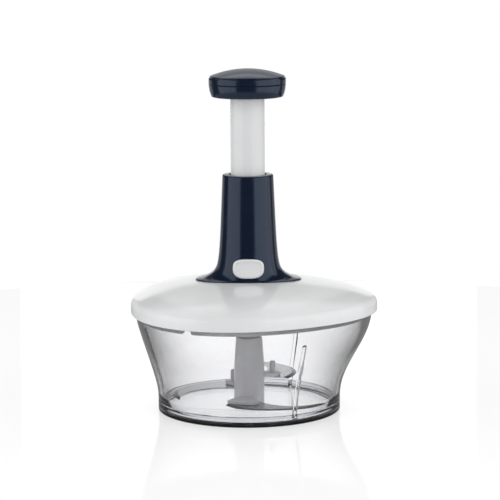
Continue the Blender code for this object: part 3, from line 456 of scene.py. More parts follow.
def smoky_ring(name, base):
    """Dark clear plastic with painted shade that deepens towards the table."""
    finish = Finish(name, Transmission_Weight=1.0, IOR=PLASTIC_IOR)
    # Painted shade: the foot's colour darkens towards the table.
    depth = finish.ramp(finish.axis(2), 0.18 * FOOT_H, 0.62 * FOOT_H)
    smear = finish.noise(40.0, 3.0, 0.6)
    grit = finish.noise(900.0, 2.0, 0.5)
    finish.set("Base Color", finish.blend(depth, tint(base, FOOT_DARK), tint(base, FOOT_PALE)))
    finish.set("Roughness", finish.ramp(smear, 0.4, 0.75) * 0.06 + 0.03)
    finish.set("Normal", finish.bump(grit, 0.02 * MM, 0.12))
    return finish.material


def milky_plastic(name, base, roughness):
    """Slightly translucent plastic with soft depth and faint mould haze."""
    finish = Finish(name, Subsurface_Weight=0.35, Subsurface_Scale=3.0 * MM,
                    Subsurface_Radius=(1.0, 1.0, 1.0), Coat_Weight=0.15)
    cloud = finish.noise(45.0, 3.0, 0.55, (1.0, 1.0, 0.5))
    grit = finish.noise(1300.0, 2.0, 0.5)
    hair = scratches(finish, 800.0, (0.5, 0.3, 0.2), 0.04)
    shade = finish.blend(finish.ramp(cloud, 0.3, 0.7), tint(base, 0.93), tint(base, 1.05))
    finish.set("Base Color", shade)
    finish.set("Roughness", finish.ramp(cloud, 0.4, 0.75) * 0.10 + hair * 0.2 + roughness)
    finish.set("Normal", finish.bump(grit - hair, 0.03 * MM, 0.12))
    return finish.material


SEAL_GREY = 0.42, 0.43, 0.44
BRONZE = 0.50, 0.30, 0.12


def make_finishes():
    """Every material of the chopper, by the name of its use."""
    hues = bpy.context.scene.chopper_colours
    navy, white, steel = tuple(hues.navy), tuple(hues.white), tuple(hues.steel)
    inner = tuple(hues.inner)
    return {
        "navy": moulded("navy gloss", navy, 0.17, 0.03, 0.7, Specular_IOR_Level=0.75,
                        Specular_Tint=(0.68, 0.80, 1.0, 1.0)),
        "white": moulded("lid white", white, 0.15, 0.04, 0.35),
        # Painted shade: the tube's white is a darker copy of the lid's white.
        "tube": moulded("tube white", tint(white, 0.90), 0.17, 0.05, 0.6),
        # Painted shade: the button's white is a slightly darker copy of the lid's white.
        "button": moulded("button white", tint(white, 0.98), 0.24, 0.08, 0.5),
        "clear": clear_plastic("clear smoke", tuple(hues.clear)),
        "skirt": milky_plastic("skirt grey", tuple(hues.skirt), 0.26),
        "seal": satin("seal rubber", SEAL_GREY, 0.6, 0.3),
        "hub": milky_plastic("hub grey", tuple(hues.hub), 0.28),
        "foot": smoky_ring("smoky foot", tuple(hues.foot)),
        # Painted shade and painted light: the lowest blade gets a darker copy of the steel, the
        # middle and upper blades a lighter copy.
        "blade": ground_steel("blade steel", tint(steel, 0.72), 0.22, 0.4),
        "lit_blade": ground_steel("upper blade steel", tint(steel, 1.25), 0.16, 0.4),
        # Painted shade: the ground edge is a much darker copy of the same steel.
        "edge": ground_steel("ground edge", tint(steel, 0.32), 0.15, 1.1, 1.12),
        "screw": turned_metal("screw steel", tint(steel, 0.9), 0.26),
        "spring": turned_metal("spring steel", tint(steel, 0.75), 0.3),
        "strip": ground_steel("strip steel", tint(steel, 0.92), 0.26, 1.57),
        "bronze": turned_metal("bush bronze", BRONZE, 0.34),
        "inner": satin("inner white", inner, 0.40, 0.15),
    }


# ---------------------------------------------------------------- mesh helpers

FINISHES = {}


def finish_of(name):
    """Material by the name of its use."""
    if not FINISHES:
        FINISHES.update(make_finishes())
    return FINISHES[name]


def linked(name, bm):
    """Object of a bmesh, its normals out, in the scene."""
    bmesh.ops.recalc_face_normals(bm, faces=bm.faces)
    mesh = bpy.data.meshes.new(name)
    bm.to_mesh(mesh)
    bm.free()
    made = bpy.data.objects.new(name, mesh)
    bpy.context.scene.collection.objects.link(made)
    return made


def piece(name, bm, finish, body, nodes=(), sharp=38.0):
    """Makes a bmesh a finished piece: doubles merged, normals out, smooth but for sharp edges."""
    bmesh.ops.remove_doubles(bm, verts=bm.verts, dist=MERGE)
    bmesh.ops.recalc_face_normals(bm, faces=bm.faces)
    limit = math.radians(sharp)
    for face in bm.faces:
        face.smooth = True
    for edge in bm.edges:
        edge.smooth = len(edge.link_faces) == 2 and edge.calc_face_angle(0.0) < limit
    made = linked(name, bm)
    for use in (finish if isinstance(finish, tuple) else (finish,)):
        made.data.materials.append(finish_of(use))
    if body:
        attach(made, body)
    if nodes:
        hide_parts(*nodes)
    return made


def spun(profile, steps=None, rounds=()):
    """Turned bmesh from (radius, height) points; rounds lists (point index, width, segments)."""
    steps = steps or bpy.context.scene.chopper_sizes.around
    bm = bmesh.new()
    points = [bm.verts.new((radius, 0.0, height)) for radius, height in profile]
    edges = [bm.edges.new(pair) for pair in zip(points, points[1:])]
    if profile[0][0] > 0.0 or profile[-1][0] > 0.0:
        edges.append(bm.edges.new((points[-1], points[0])))
    bmesh.ops.spin(bm, geom=points + edges, cent=(0.0, 0.0, 0.0), axis=(0.0, 0.0, 1.0),
                   angle=2.0 * math.pi, steps=steps, use_merge=True)
    bmesh.ops.remove_doubles(bm, verts=bm.verts, dist=MERGE)
    bmesh.ops.recalc_face_normals(bm, faces=bm.faces)
    for index, width, segments in rounds:
        radius, height = profile[index]
        near = [edge for edge in bm.edges if all(
            abs(v.co.xy.length - radius) < CLOSE and abs(v.co.z - height) < CLOSE
            for v in edge.verts)]
        soften(bm, near, width, segments)
    return bm


def soften(bm, edges, width, segments=2):
    """Rounds edges."""
    bmesh.ops.bevel(bm, geom=edges, offset=width, offset_type="OFFSET", segments=segments,
                    profile=0.5, affect="EDGES", clamp_overlap=True, material=-1)


def turned(bm, angle, axis="Z"):
    """Turns a whole bmesh about an axis through the origin."""
    bmesh.ops.rotate(bm, matrix=Matrix.Rotation(angle, 3, axis), verts=bm.verts)


def moved(bm, offset):
    """Moves a whole bmesh."""
    bmesh.ops.translate(bm, vec=offset, verts=bm.verts)


def run_along(edge, axis=2):
    """How far an edge runs along an axis."""
    return abs(edge.verts[0].co[axis] - edge.verts[1].co[axis])


def free_end(extruded):
    """Vertices and edges at the free end of an extruded ring."""
    verts = [g for g in extruded if isinstance(g, bmesh.types.BMVert)]
    held = set(verts)
    return verts, [g for g in extruded
                   if isinstance(g, bmesh.types.BMEdge) and held.issuperset(g.verts)]


def push_lobes(bm, amount):
    """Pushes a turned shape's points out at the three lobes."""
    for vertex in bm.verts:
        x, y, z = vertex.co
        share = 1.0 + amount(math.hypot(x, y), z) * math.cos(LOBES * math.atan2(y, x))
        vertex.co.x = x * share
        vertex.co.y = y * share
    return bm


def stacked(rings, steps=160):
    """Skin through ovals (half width, half depth, height), each extruded from the one before."""
    bm = bmesh.new()
    bmesh.ops.create_circle(bm, cap_ends=False, segments=steps, radius=1.0)
    ring = bm.verts[:]
    edges = bm.edges[:]
    first = edges
    before = (1.0, 1.0, 0.0)
    for index, (a, b, z) in enumerate(rings):
        if index:
            ring, edges = free_end(bmesh.ops.extrude_edge_only(bm, edges=edges)["geom"])
        bmesh.ops.scale(bm, vec=(a / before[0], b / before[1], 1.0), verts=ring)
        bmesh.ops.translate(bm, vec=(0.0, 0.0, z - before[2]), verts=ring)
        before = (a, b, z)
    return bm, first, edges


def flat_plate(outline, bottom, top):
    """Plate of a closed outline in the XY plane; returns the bmesh and its top face."""
    bm = bmesh.new()
    face = bm.faces.new([bm.verts.new((x, y, bottom)) for x, y in outline])
    raised = bmesh.ops.extrude_face_region(bm, geom=[face], use_keep_orig=True)["geom"]
    lifted = [g for g in raised if isinstance(g, bmesh.types.BMVert)]
    bmesh.ops.translate(bm, vec=(0.0, 0.0, top - bottom), verts=lifted)
    bmesh.ops.recalc_face_normals(bm, faces=bm.faces)
    cap = max(bm.faces, key=lambda f: (f.calc_center_median().z, len(f.verts)))
    return bm, cap


def block(size, centre, turn=0.0):
    """Box turned about the vertical axis through the origin."""
    bm = bmesh.new()
    bmesh.ops.create_cube(bm, size=1.0)
    bmesh.ops.scale(bm, vec=size, verts=bm.verts)
    moved(bm, centre)
    turned(bm, turn)
    return bm


def post(radius, bottom, top, centre=(0.0, 0.0), steps=48):
    """Upright cylinder."""
    bm = bmesh.new()
    place = Matrix.Translation((*centre, (bottom + top) / 2))
    bmesh.ops.create_cone(bm, cap_ends=True, segments=steps, radius1=radius, radius2=radius,
                          depth=top - bottom, matrix=place)
    return bm


def combined(bm, tools, operation="DIFFERENCE"):
    """Cuts or joins a bmesh by others with Blender's exact boolean."""
    work = linked("work", bm)
    helpers = []
    for tool in tools:
        helper = linked("tool", tool)
        helpers.append(helper)
        modifier = work.modifiers.new("cut", "BOOLEAN")
        modifier.operation = operation
        modifier.solver = "EXACT"
        modifier.object = helper
    bpy.context.view_layer.update()
    finished = work.evaluated_get(bpy.context.evaluated_depsgraph_get())
    result = bpy.data.meshes.new_from_object(finished)
    out = bmesh.new()
    out.from_mesh(result)
    for made in [work] + helpers:
        bpy.data.objects.remove(made)
    return out


def clothe(use, *nodes):
    """Gives CAD nodes that stay visible a finish."""
    for node in nodes:
        made = frame["nodes"][node]
        made.data.materials.clear()
        made.data.materials.append(finish_of(use))


# ---------------------------------------------------------------- bowl

def gather_steps(bm, share=0.84):
    """Moves the facets' edges around a turned shape closer together where the ribs run."""
    for vertex in bm.verts:
        x, y, z = vertex.co
        radius = math.hypot(x, y)
        if radius < 0.1 * MM:
            continue
        angle = math.atan2(y, x)
        angle -= share / LOBES * math.sin(LOBES * (angle - RIB_AT))
        vertex.co.x = radius * math.cos(angle)
        vertex.co.y = radius * math.sin(angle)


def raise_ribs(bm, wall, rib_r, bottom, top):
    """Pushes the inner wall in where its three half-round ribs run."""
    for vertex in bm.verts:
        x, y, z = vertex.co
        radius = math.hypot(x, y)
        if radius > wall_radius(z) - 0.6 * wall or radius < 0.7 * BASE_R or z < bottom:
            continue
        angle = math.atan2(y, x)
        aside = (angle - RIB_AT + math.pi / LOBES) % (2.0 * math.pi / LOBES) - math.pi / LOBES
        beyond = max(0.0, z - (top - rib_r))
        distance = math.hypot(aside * radius, beyond)
        if distance < rib_r:
            share = 1.0 - math.sqrt(rib_r ** 2 - distance ** 2) / radius
            vertex.co.x = x * share
            vertex.co.y = y * share


def make_bowl():
    """Clear bowl in one closed shell."""
    sizes = bpy.context.scene.chopper_sizes
    wall = sizes.bowl_wall
    floor = 3.0 * MM
    boss_top = HUB_LOW - GAP
    pin_r = high("bowl_pin").x + GAP
    hole_low = low("bowl_pin").z - GAP
    step_r = BASE_R - 2.3 * MM
    well_r = step_r - 2.2 * MM
    start = FOOT_H + 2.0 * MM
    rib_top = BOWL_H - 19.0 * MM
    heights = spaced(start, rib_top - 3.0 * MM, 22)
    heights += spaced(rib_top - 2.6 * MM, rib_top + 0.6 * MM, 9)
    heights += spaced(rib_top + 2.0 * MM, BOWL_H - 0.8 * MM, 10)
    boss_r, boss_foot = 8.0 * MM, 9.0 * MM
    fillet = 3.2 * MM
    hold = 0.3 * MM                       # narrow rings beside the floor keep its shading flat
    inner = [(0.0, hole_low), (pin_r, hole_low), (pin_r, boss_top), (boss_r, boss_top),
             (boss_foot, floor), (boss_foot + hold, floor), (well_r - fillet - hold, floor)]
    for angle in spaced(0.0, math.pi / 2, 8):
        inner.append((well_r - fillet * (1.0 - math.sin(angle)),
                      floor + fillet * (1.0 - math.cos(angle))))
    inner += [(wall_radius(z) - wall, z) for z in heights[1:]]
    rim = [(RIM_R - wall + 0.5 * MM, BOWL_H), (RIM_R - 0.6 * MM, BOWL_H)]
    outer = [(wall_radius(z), z) for z in reversed(heights)]
    outer += [(BASE_R, FOOT_H + GAP), (step_r, FOOT_H + GAP), (step_r, 0.4 * MM),
              (step_r - 0.4 * MM, 0.0), (step_r - 0.4 * MM - hold, 0.0), (0.0, 0.0)]
    bm = spun(inner + rim + outer, 300)
    gather_steps(bm)
    raise_ribs(bm, wall, sizes.rib, 4.5 * MM, rib_top)
    push_lobes(bm, wall_lobe)
    piece("clear_bowl", bm, "clear", "bowl", ["bowl"], 50.0)


def make_foot():
    """Dark ring around the foot, with a shallow groove, and the pin in the floor."""
    inner = BASE_R - 2.0 * MM
    groove = 0.45 * MM
    profile = [(inner, FOOT_H), (BASE_R, FOOT_H), (BASE_R, 0.62 * FOOT_H),
               (BASE_R - groove, 0.58 * FOOT_H), (BASE_R - groove, 0.50 * FOOT_H),
               (BASE_R, 0.46 * FOOT_H), (BASE_R, 0.0), (inner, 0.0)]
    bm = spun(profile, rounds=[(1, 0.5 * MM, 3), (6, 0.6 * MM, 3), (0, 0.2 * MM, 2)])
    piece("foot_band", bm, "foot", "bowl", ["foot_ring"], 30.0)
    pin_low, pin_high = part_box("bowl_pin")
    radius = pin_high.x
    bm = spun([(0.0, pin_high.z), (radius, pin_high.z), (radius, pin_low.z), (0.0, pin_low.z)], 48,
              [(1, 1.1 * MM, 5)])
    piece("rotor_pin", bm, "screw", "bowl", ["bowl_pin"])


# ---------------------------------------------------------------- rotor

def arc_through(start, middle, end, steps):
    """Points of the circular arc through three points."""
    first, second, third = Vector(start), Vector(middle), Vector(end)
    cross = 2.0 * (second - first).cross(third - first)
    to_second = (second - first).length_squared
    to_third = (third - first).length_squared
    leg, side = second - first, third - first
    centre = first + Vector((side.y * to_second - leg.y * to_third,
                             leg.x * to_third - side.x * to_second)) / cross
    angles = [math.atan2(p.y - centre.y, p.x - centre.x) for p in (first, second, third)]
    full = 2.0 * math.pi
    sweep = (angles[2] - angles[0]) % full
    if (angles[1] - angles[0]) % full > sweep:
        sweep -= full
    return [centre + polar((first - centre).length, math.degrees(angles[0] + sweep * i / steps))
            for i in range(steps + 1)]


def grind_cutter(lead, width, bottom, top):
    """Wedge along a blade's leading edge that takes its upper side down to a fine edge."""
    edge = 0.12 * MM
    slope = (top - bottom - edge) / width
    first = lead[0] + (lead[0] - lead[1]).normalized() * 3.0 * MM
    last = lead[-1] + (lead[-1] - lead[-2]).normalized() * 3.0 * MM
    line = [first] + lead + [last]
    bm = bmesh.new()
    section = None
    for before, point, after in zip([first] + line, line, line[1:] + [last]):
        along = (after - before).normalized()
        out = Vector((along.y, -along.x))
        inner = point - out * (width + MM)
        outer = point + out * 2.0 * MM
        corners = [(*inner, top + slope * MM), (*outer, bottom + edge - slope * 2.0 * MM),
                   (*outer, top + 2.0 * MM)]
        if section is None:
            section = bm.faces.new([bm.verts.new(corner) for corner in corners])
            ring = section.edges[:]
            verts = section.verts[:]
            continue
        fresh, ring = free_end(bmesh.ops.extrude_edge_only(bm, edges=ring)["geom"])
        verts = [next(e.other_vert(v) for e in v.link_edges if e.other_vert(v) in fresh)
                 for v in verts]
        for vertex, corner in zip(verts, corners):
            vertex.co = corner
    bm.faces.new(verts)
    return bm


PAD_FACE = 12.7 * MM                  # radius at which a pad and a blade's neck meet the hub
PAD_TURN = -108.0                     # degrees from the blade's axes to a tab's middle


def make_blade(key, turn):
    """Crescent blade with a ground leading edge."""
    sizes = bpy.context.scene.chopper_sizes
    bottom, top = low(key + "_blade").z, high(key + "_blade").z
    tip = polar(67.6 * MM, -23.6)
    lead = arc_through((-19.0 * MM, -25.0 * MM), (13.0 * MM, -50.0 * MM), tip, 44)
    back = arc_through(tip, (33.0 * MM, -34.0 * MM), (13.5 * MM, -24.0 * MM), 26)
    root, half = 8.2 * MM, 6.0 * MM
    neck = [(half, -PAD_FACE), (half, -root), (-half, -root), (-half, -PAD_FACE)]
    outline = [tuple(p) for p in lead + back[1:]] + neck
    bm, _cap = flat_plate(outline, bottom, top)
    bm = combined(bm, [grind_cutter(lead, sizes.grind, bottom, top)])
    for face in bm.faces:
        face.normal_update()
        if 0.3 < face.normal.z < 0.99:
            face.material_index = 1
    turned(bm, math.radians(turn))
    # Painted light on the middle and upper blades, painted shade on the lowest.
    flat = "blade" if key == "lower" else "lit_blade"
    piece(key + "_steel", bm, (flat, "edge"), "blade", [key + "_blade"], 8.0)


def make_pad(key, turn):
    """Plastic pad on a blade: a leaf on the lowest, a tab with a peg on the others."""
    sizes = bpy.context.scene.chopper_sizes
    bottom = low(key + "_pad").z
    top = bottom + 2.6 * MM
    if key == "lower":
        outline = [tuple(polar(PAD_FACE, -70.0 - 5.0 * i)) for i in range(13)]
        corners = [(-18.0, -25.0), (-9.0, -29.5), (2.0, -32.5), (8.0, -27.5)]
        outline += [(x * MM, y * MM) for x, y in corners]
    else:
        tab_r = 6.5 * MM
        half = math.degrees(math.asin(tab_r / PAD_FACE))
        outline = [tuple(polar(PAD_FACE, PAD_TURN + half * (1.0 - i / 4))) for i in range(9)]
        centre = polar(PAD_FACE + 6.8 * MM, PAD_TURN)
        outline += [tuple(centre + polar(tab_r, PAD_TURN - 90.0 + 180.0 * i / 24))
                    for i in range(25)]
    bm, _cap = flat_plate(outline, bottom, top)
    upright = [e for e in bm.edges if run_along(e) > MM and e.calc_face_angle(0.0) > 0.35]
    soften(bm, upright, 1.2 * MM, 4)
    around = [e for e in bm.edges if run_along(e) < CLOSE and e.calc_face_angle(0.0) > 0.8]
    soften(bm, around, sizes.softening, 3)
    if key != "lower":
        peg_r = 2.4 * MM
        peg = post(peg_r, top - 0.6 * MM, high(key + "_pad").z, tuple(centre), 40)
        crown = [e for e in peg.edges if min(v.co.z for v in e.verts) > top + MM]
        soften(peg, crown, 1.5 * MM, 6)
        bm = combined(bm, [peg], "UNION")
    turned(bm, math.radians(turn))
    piece(key + "_tab", bm, "hub", "blade", [key + "_pad"], 32.0)


def make_hub():
    """Tapered hub with a soft shoulder, a foot bead and a hexagonal socket."""
    top_r = HUB_R - 1.8 * MM
    shoulder = 0.49 * HUB_TOP
    pin_r = high("bowl_pin").x + GAP
    pin_top = high("bowl_pin").z + MM
    bore, bore_low = 4.8 * MM, pin_top + 2.0 * MM
    profile = [(0.0, bore_low), (bore, bore_low), (bore, HUB_TOP), (top_r, HUB_TOP)]
    profile += [(HUB_R - (HUB_R - top_r) * smoothstep(shoulder, HUB_TOP + 6.0 * MM, z), z)
                for z in spaced(HUB_TOP - 2.0 * MM, shoulder, 9)]
    profile += [(HUB_R, HUB_LOW), (pin_r, HUB_LOW), (pin_r, pin_top), (0.0, pin_top)]
    rounds = [(3, 1.3 * MM, 4), (2, 0.3 * MM, 2), (len(profile) - 4, 0.6 * MM, 3)]
    bm = spun(profile, 96, rounds)
    tools = [post(5.9 * MM * HEX_CORNER, HUB_TOP - 12.5 * MM, HUB_TOP + MM, steps=6)]
    for key, turn in BLADES.items():
        middle = (low(key + "_blade").z + high(key + "_blade").z) / 2
        tools.append(block((12.6 * MM, 6.5 * MM, 1.8 * MM), (0.0, -11.15 * MM, middle),
                           math.radians(turn)))
    piece("rotor_hub", combined(bm, tools), "hub", "blade", ["blade_hub"], 32.0)


# ---------------------------------------------------------------- lid

def make_cover():
    """Domed lid with a rounded rim band."""
    sizes = bpy.context.scene.chopper_sizes
    wall = sizes.lid_wall
    hole = 16.6 * MM
    seat = 26.0 * MM
    land_z = FLANGE_TOP + GAP
    radii = spaced(seat + 2.0 * MM, LID_R - 6.0 * MM, 26)
    outer = [(hole, SEAT_Z), (seat, SEAT_Z)] + [(r, dome_height(r)) for r in radii]
    outer += [(LID_R, dome_height(LID_R) + 0.2 * MM), (LID_R, LID_LOW)]
    corner = len(outer) - 2
    inner = [(LID_R - wall, LID_LOW), (LID_R - wall, dome_height(LID_R) - wall)]
    land_r = 34.5 * MM
    inner += [(r, dome_height(r) - wall) for r in reversed(radii) if r > land_r + 1.5 * MM]
    inner += [(land_r, land_z), (hole, land_z)]
    rounds = [(corner, sizes.lid_round, 7), (corner + 1, 0.7 * MM, 4), (corner + 2, 0.4 * MM, 2),
              (1, 0.8 * MM, 2)]
    bm = spun(outer + inner, None, rounds)
    push_lobes(bm, lid_lobe)
    piece("lid_dome", bm, "white", "lid", ["lid_cover"], 30.0)


def notch(turn):
    """Cutter for the skirt: a slot whose foot flares, so that the corners come out round."""
    half, flare = 3.25 * MM, 6.0 * MM
    wide, tall, below = half + flare, 5.5 * MM, -4.0 * MM
    outline = [(-half, tall), (half, tall), (half, 0.0), (wide, 0.0),
               (wide, below), (-wide, below), (-wide, 0.0), (-half, 0.0)]
    bm, _cap = flat_plate(outline, -12.0 * MM, 12.0 * MM)
    inside = [e for e in bm.edges if run_along(e) > MM and abs(e.verts[0].co.y) < CLOSE
              and abs(abs(e.verts[0].co.x) - half) < CLOSE]
    soften(bm, inside, 2.2 * MM, 6)
    turned(bm, math.pi / 2, "X")
    turned(bm, math.pi / 2)
    moved(bm, (SKIRT_R, 0.0, SKIRT_LOW))
    turned(bm, math.radians(turn))
    return bm


def make_skirt():
    """Grey ring that drops into the bowl, notched at the lobes, and the soft seal beside it."""
    sizes = bpy.context.scene.chopper_sizes
    top = high("lid_skirt").z
    inner = SKIRT_R - 2.2 * MM
    profile = [(SKIRT_R, top), (SKIRT_R, SKIRT_LOW), (inner, SKIRT_LOW), (inner, top)]
    bm = spun(profile, 240, [(1, 0.7 * MM, 4), (2, 0.7 * MM, 4)])
    push_lobes(bm, rim_lobe)
    bm = combined(bm, [notch(turn) for turn in (0.0, 120.0, 240.0)])
    piece("lid_inner_ring", bm, "skirt", "lid", ["lid_skirt"], 32.0)
    seal_low, seal_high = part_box("seal_ring")
    outer = seal_high.x / LOBE_SHARE
    inner = SKIRT_R + 2.0 * GAP
    groove = 0.5 * MM
    middle = (outer + inner) / 2
    profile = [(inner, seal_high.z), (outer, seal_high.z), (outer, seal_low.z),
               (middle + groove, seal_low.z), (middle, seal_low.z + groove),
               (middle - groove, seal_low.z), (inner, seal_low.z)]
    bm = spun(profile, 200, [(index, sizes.softening, 2) for index in (0, 1, 2)])
    push_lobes(bm, rim_lobe)
    piece("rim_seal", bm, "seal", "lid", ["seal_ring"])


# ---------------------------------------------------------------- tower and button

def oval(power, count):
    """Points of a rounded oval: 2 is an ellipse, more fills its corners."""
    points = []
    for k in range(count):
        angle = 2.0 * math.pi * k / count
        points.append(tuple(math.copysign(abs(part) ** (2.0 / power), part)
                            for part in (math.cos(angle), math.sin(angle))))
    return points


BUTTON_POWER = 3.0
BUTTON_B = 7.75 * MM


def button_bar(play, front, back):
    """Rounded oval bar along Y at the button's height."""
    outline = [((BUTTON_A + play) * x, (BUTTON_B + play) * y) for x, y in oval(BUTTON_POWER, 96)]
    bm, _cap = flat_plate(outline, 0.0, back - front)
    turned(bm, -math.pi / 2, "X")
    moved(bm, (0.0, front, BUTTON_Z))
    return bm


def tower_ring(height, inset):
    """Oval of the tower at a height, drawn in by an inset."""
    a, b = tower_section(height)
    return a - inset, b - inset, height


def make_tower():
    """Hollow tower: round at its top, an oval flare at its foot that lies on the dome."""
    sizes = bpy.context.scene.chopper_sizes
    edge = sizes.tower_round
    foot = SEAT_Z + GAP
    wall = 2.4 * MM
    plate_low = TOWER_TOP - 3.0 * MM
    hole = 15.0 * MM
    bevel = 0.5 * MM
    rings = [(hole, hole, plate_low), (hole, hole, TOWER_TOP - bevel),
             (hole + bevel, hole + bevel, TOWER_TOP)]
    for angle in spaced(0.0, math.pi / 2, 5):
        rings.append(tower_ring(TOWER_TOP - edge * (1.0 - math.cos(angle)),
                                edge * (1.0 - math.sin(angle))))
    shares = spaced(0.05, 0.85, 16) + spaced(0.865, 0.984, 22)
    rings += [tower_ring(TOWER_TOP - TOWER_H * share, 0.0) for share in shares]
    for in_a, in_b, rise in ((1.1, 0.35, 0.85), (0.3, 0.1, 0.62), (0.0, 0.0, 0.3),
                             (0.2, 0.2, 0.0), (2.6, 2.6, 0.0)):
        rings.append((FOOT_A - in_a * MM, FOOT_B - in_b * MM, foot + rise * MM))
    rings += [tower_ring(TOWER_TOP - TOWER_H * share, wall)
              for share in (0.96, 0.91, 0.85, 0.6, 0.3)]
    rings.append(tower_ring(plate_low, wall))
    bm, first, last = stacked(rings, 180)
    bmesh.ops.bridge_loops(bm, edges=first + last)
    for vertex in bm.verts:
        radius = math.hypot(vertex.co.x, vertex.co.y)
        near = 1.0 - smoothstep(foot + 0.5 * MM, foot + 5.0 * MM, vertex.co.z)
        vertex.co.z += (min(dome_height(radius), SEAT_Z) - SEAT_Z) * near
    bm = combined(bm, [button_bar(0.35 * MM, -FOOT_A, -16.6 * MM)])
    piece("navy_tower", bm, "navy", "lid", ["tower"], 30.0)
    collar_low, collar_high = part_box("tower_collar")
    ring_in = 14.15 * MM
    profile = [(ring_in, collar_high.z), (collar_high.x, collar_high.z),
               (collar_high.x, collar_low.z), (ring_in, collar_low.z)]
    bm = spun(profile, 120, [(0, 0.5 * MM, 3), (1, 0.8 * MM, 3)])
    piece("guide_collar", bm, "navy", "lid", ["tower_collar"])


# Steps from the button's edge to its dish in millimetres: how far in, how far out.
BUTTON_STEPS = ((0.3, 0.0), (0.3, 0.20), (0.4, 0.12), (0.5, -0.02), (0.4, -0.30), (0.5, -0.32))


def make_button():
    """Rounded button with a raised border around a shallow dish, its keeper and its tongue."""
    a, b = tower_section(BUTTON_Z)
    top = BUTTON_B + 2.2 * MM
    narrow = [half - 2.4 * MM for half in tower_section(BUTTON_Z + top)]
    keeper_front = 0.6 * MM - narrow[1] * math.sqrt(1.0 - (6.5 * MM / narrow[0]) ** 2)
    keeper_back = keeper_front + 1.4 * MM
    outline = [(BUTTON_A * x, BUTTON_B * y) for x, y in oval(BUTTON_POWER, 96)]
    bm, cap = flat_plate(outline, 0.0, 10.0 * MM)
    for thickness, rise in BUTTON_STEPS:
        bmesh.ops.inset_region(bm, faces=[cap], thickness=thickness * MM, use_even_offset=True)
        bmesh.ops.translate(bm, vec=(0.0, 0.0, rise * MM), verts=cap.verts)
    dish = [cap] + cap.edges[:] + cap.verts[:]
    for place in spaced(-9.0 * MM, 9.0 * MM, 13):
        dish = bmesh.ops.bisect_plane(bm, geom=dish, dist=1e-7, plane_co=(place, 0.0, 0.0),
                                      plane_no=(1.0, 0.0, 0.0))["geom"]
    turned(bm, math.pi / 2, "X")
    moved(bm, (0.0, 0.0, BUTTON_Z))
    front = min(v.co.y for v in bm.verts if abs(abs(v.co.x) - BUTTON_A) < 0.3 * MM)
    for vertex in bm.verts:
        x = min(abs(vertex.co.x), BUTTON_A)
        curve = -b * math.sqrt(1.0 - (x / a) ** 2)
        if vertex.co.y < front + 4.0 * MM:
            vertex.co.y += curve - 0.15 * MM - front
        else:
            vertex.co.y = keeper_front + 0.2 * MM
    keeper = block((13.0 * MM, 1.4 * MM, 2.0 * top),
                   (0.0, (keeper_front + keeper_back) / 2, BUTTON_Z))
    tongue = block((7.6 * MM, -16.1 * MM - keeper_back + MM, 3.0 * MM),
                   (0.0, (keeper_back - MM - 16.1 * MM) / 2, BUTTON_Z))
    bm = combined(bm, [keeper, tongue], "UNION")
    piece("latch_button", bm, "button", "lock", ["lock_button"], 34.0)


# ---------------------------------------------------------------- drive under the lid

def make_screw(name, body, node, upward=True):
    """Pan-head screw with a crossed recess and a threaded shank."""
    bottom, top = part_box(node)
    centre = ((bottom.x + top.x) / 2, (bottom.y + top.y) / 2)
    head_r = (top.x - bottom.x) / 2
    span = top.z - bottom.z
    head = 2.0 * MM
    shank = 1.5 * MM
    core, pitch = 0.74 * shank, 0.8 * MM
    profile = [(0.0, 0.0), (head_r * 0.55, 0.06 * MM), (head_r * 0.85, 0.45 * MM),
               (head_r, 1.2 * MM), (head_r, head), (shank, head)]
    z = head + pitch
    while z < span - 2.2 * MM:
        profile += [(shank, z), (core, z + 0.35 * MM), (core, z + 0.45 * MM)]
        z += pitch
    profile += [(shank * 0.7, span - MM), (0.0, span)]
    bm = spun(profile, 32)
    cross = [block((3.2 * MM, 0.75 * MM, 2.0 * MM), (0.0, 0.0, 0.0), turn)
             for turn in (0.6, 0.6 + math.pi / 2)]
    bm = combined(bm, cross)
    if not upward:
        turned(bm, math.pi, "X")
        moved(bm, (0.0, 0.0, span))
    moved(bm, (*centre, bottom.z))
    piece(name, bm, "screw", body, [node], 30.0)


SCREW_RING = 20.5 * MM
EAR_R = 3.4 * MM


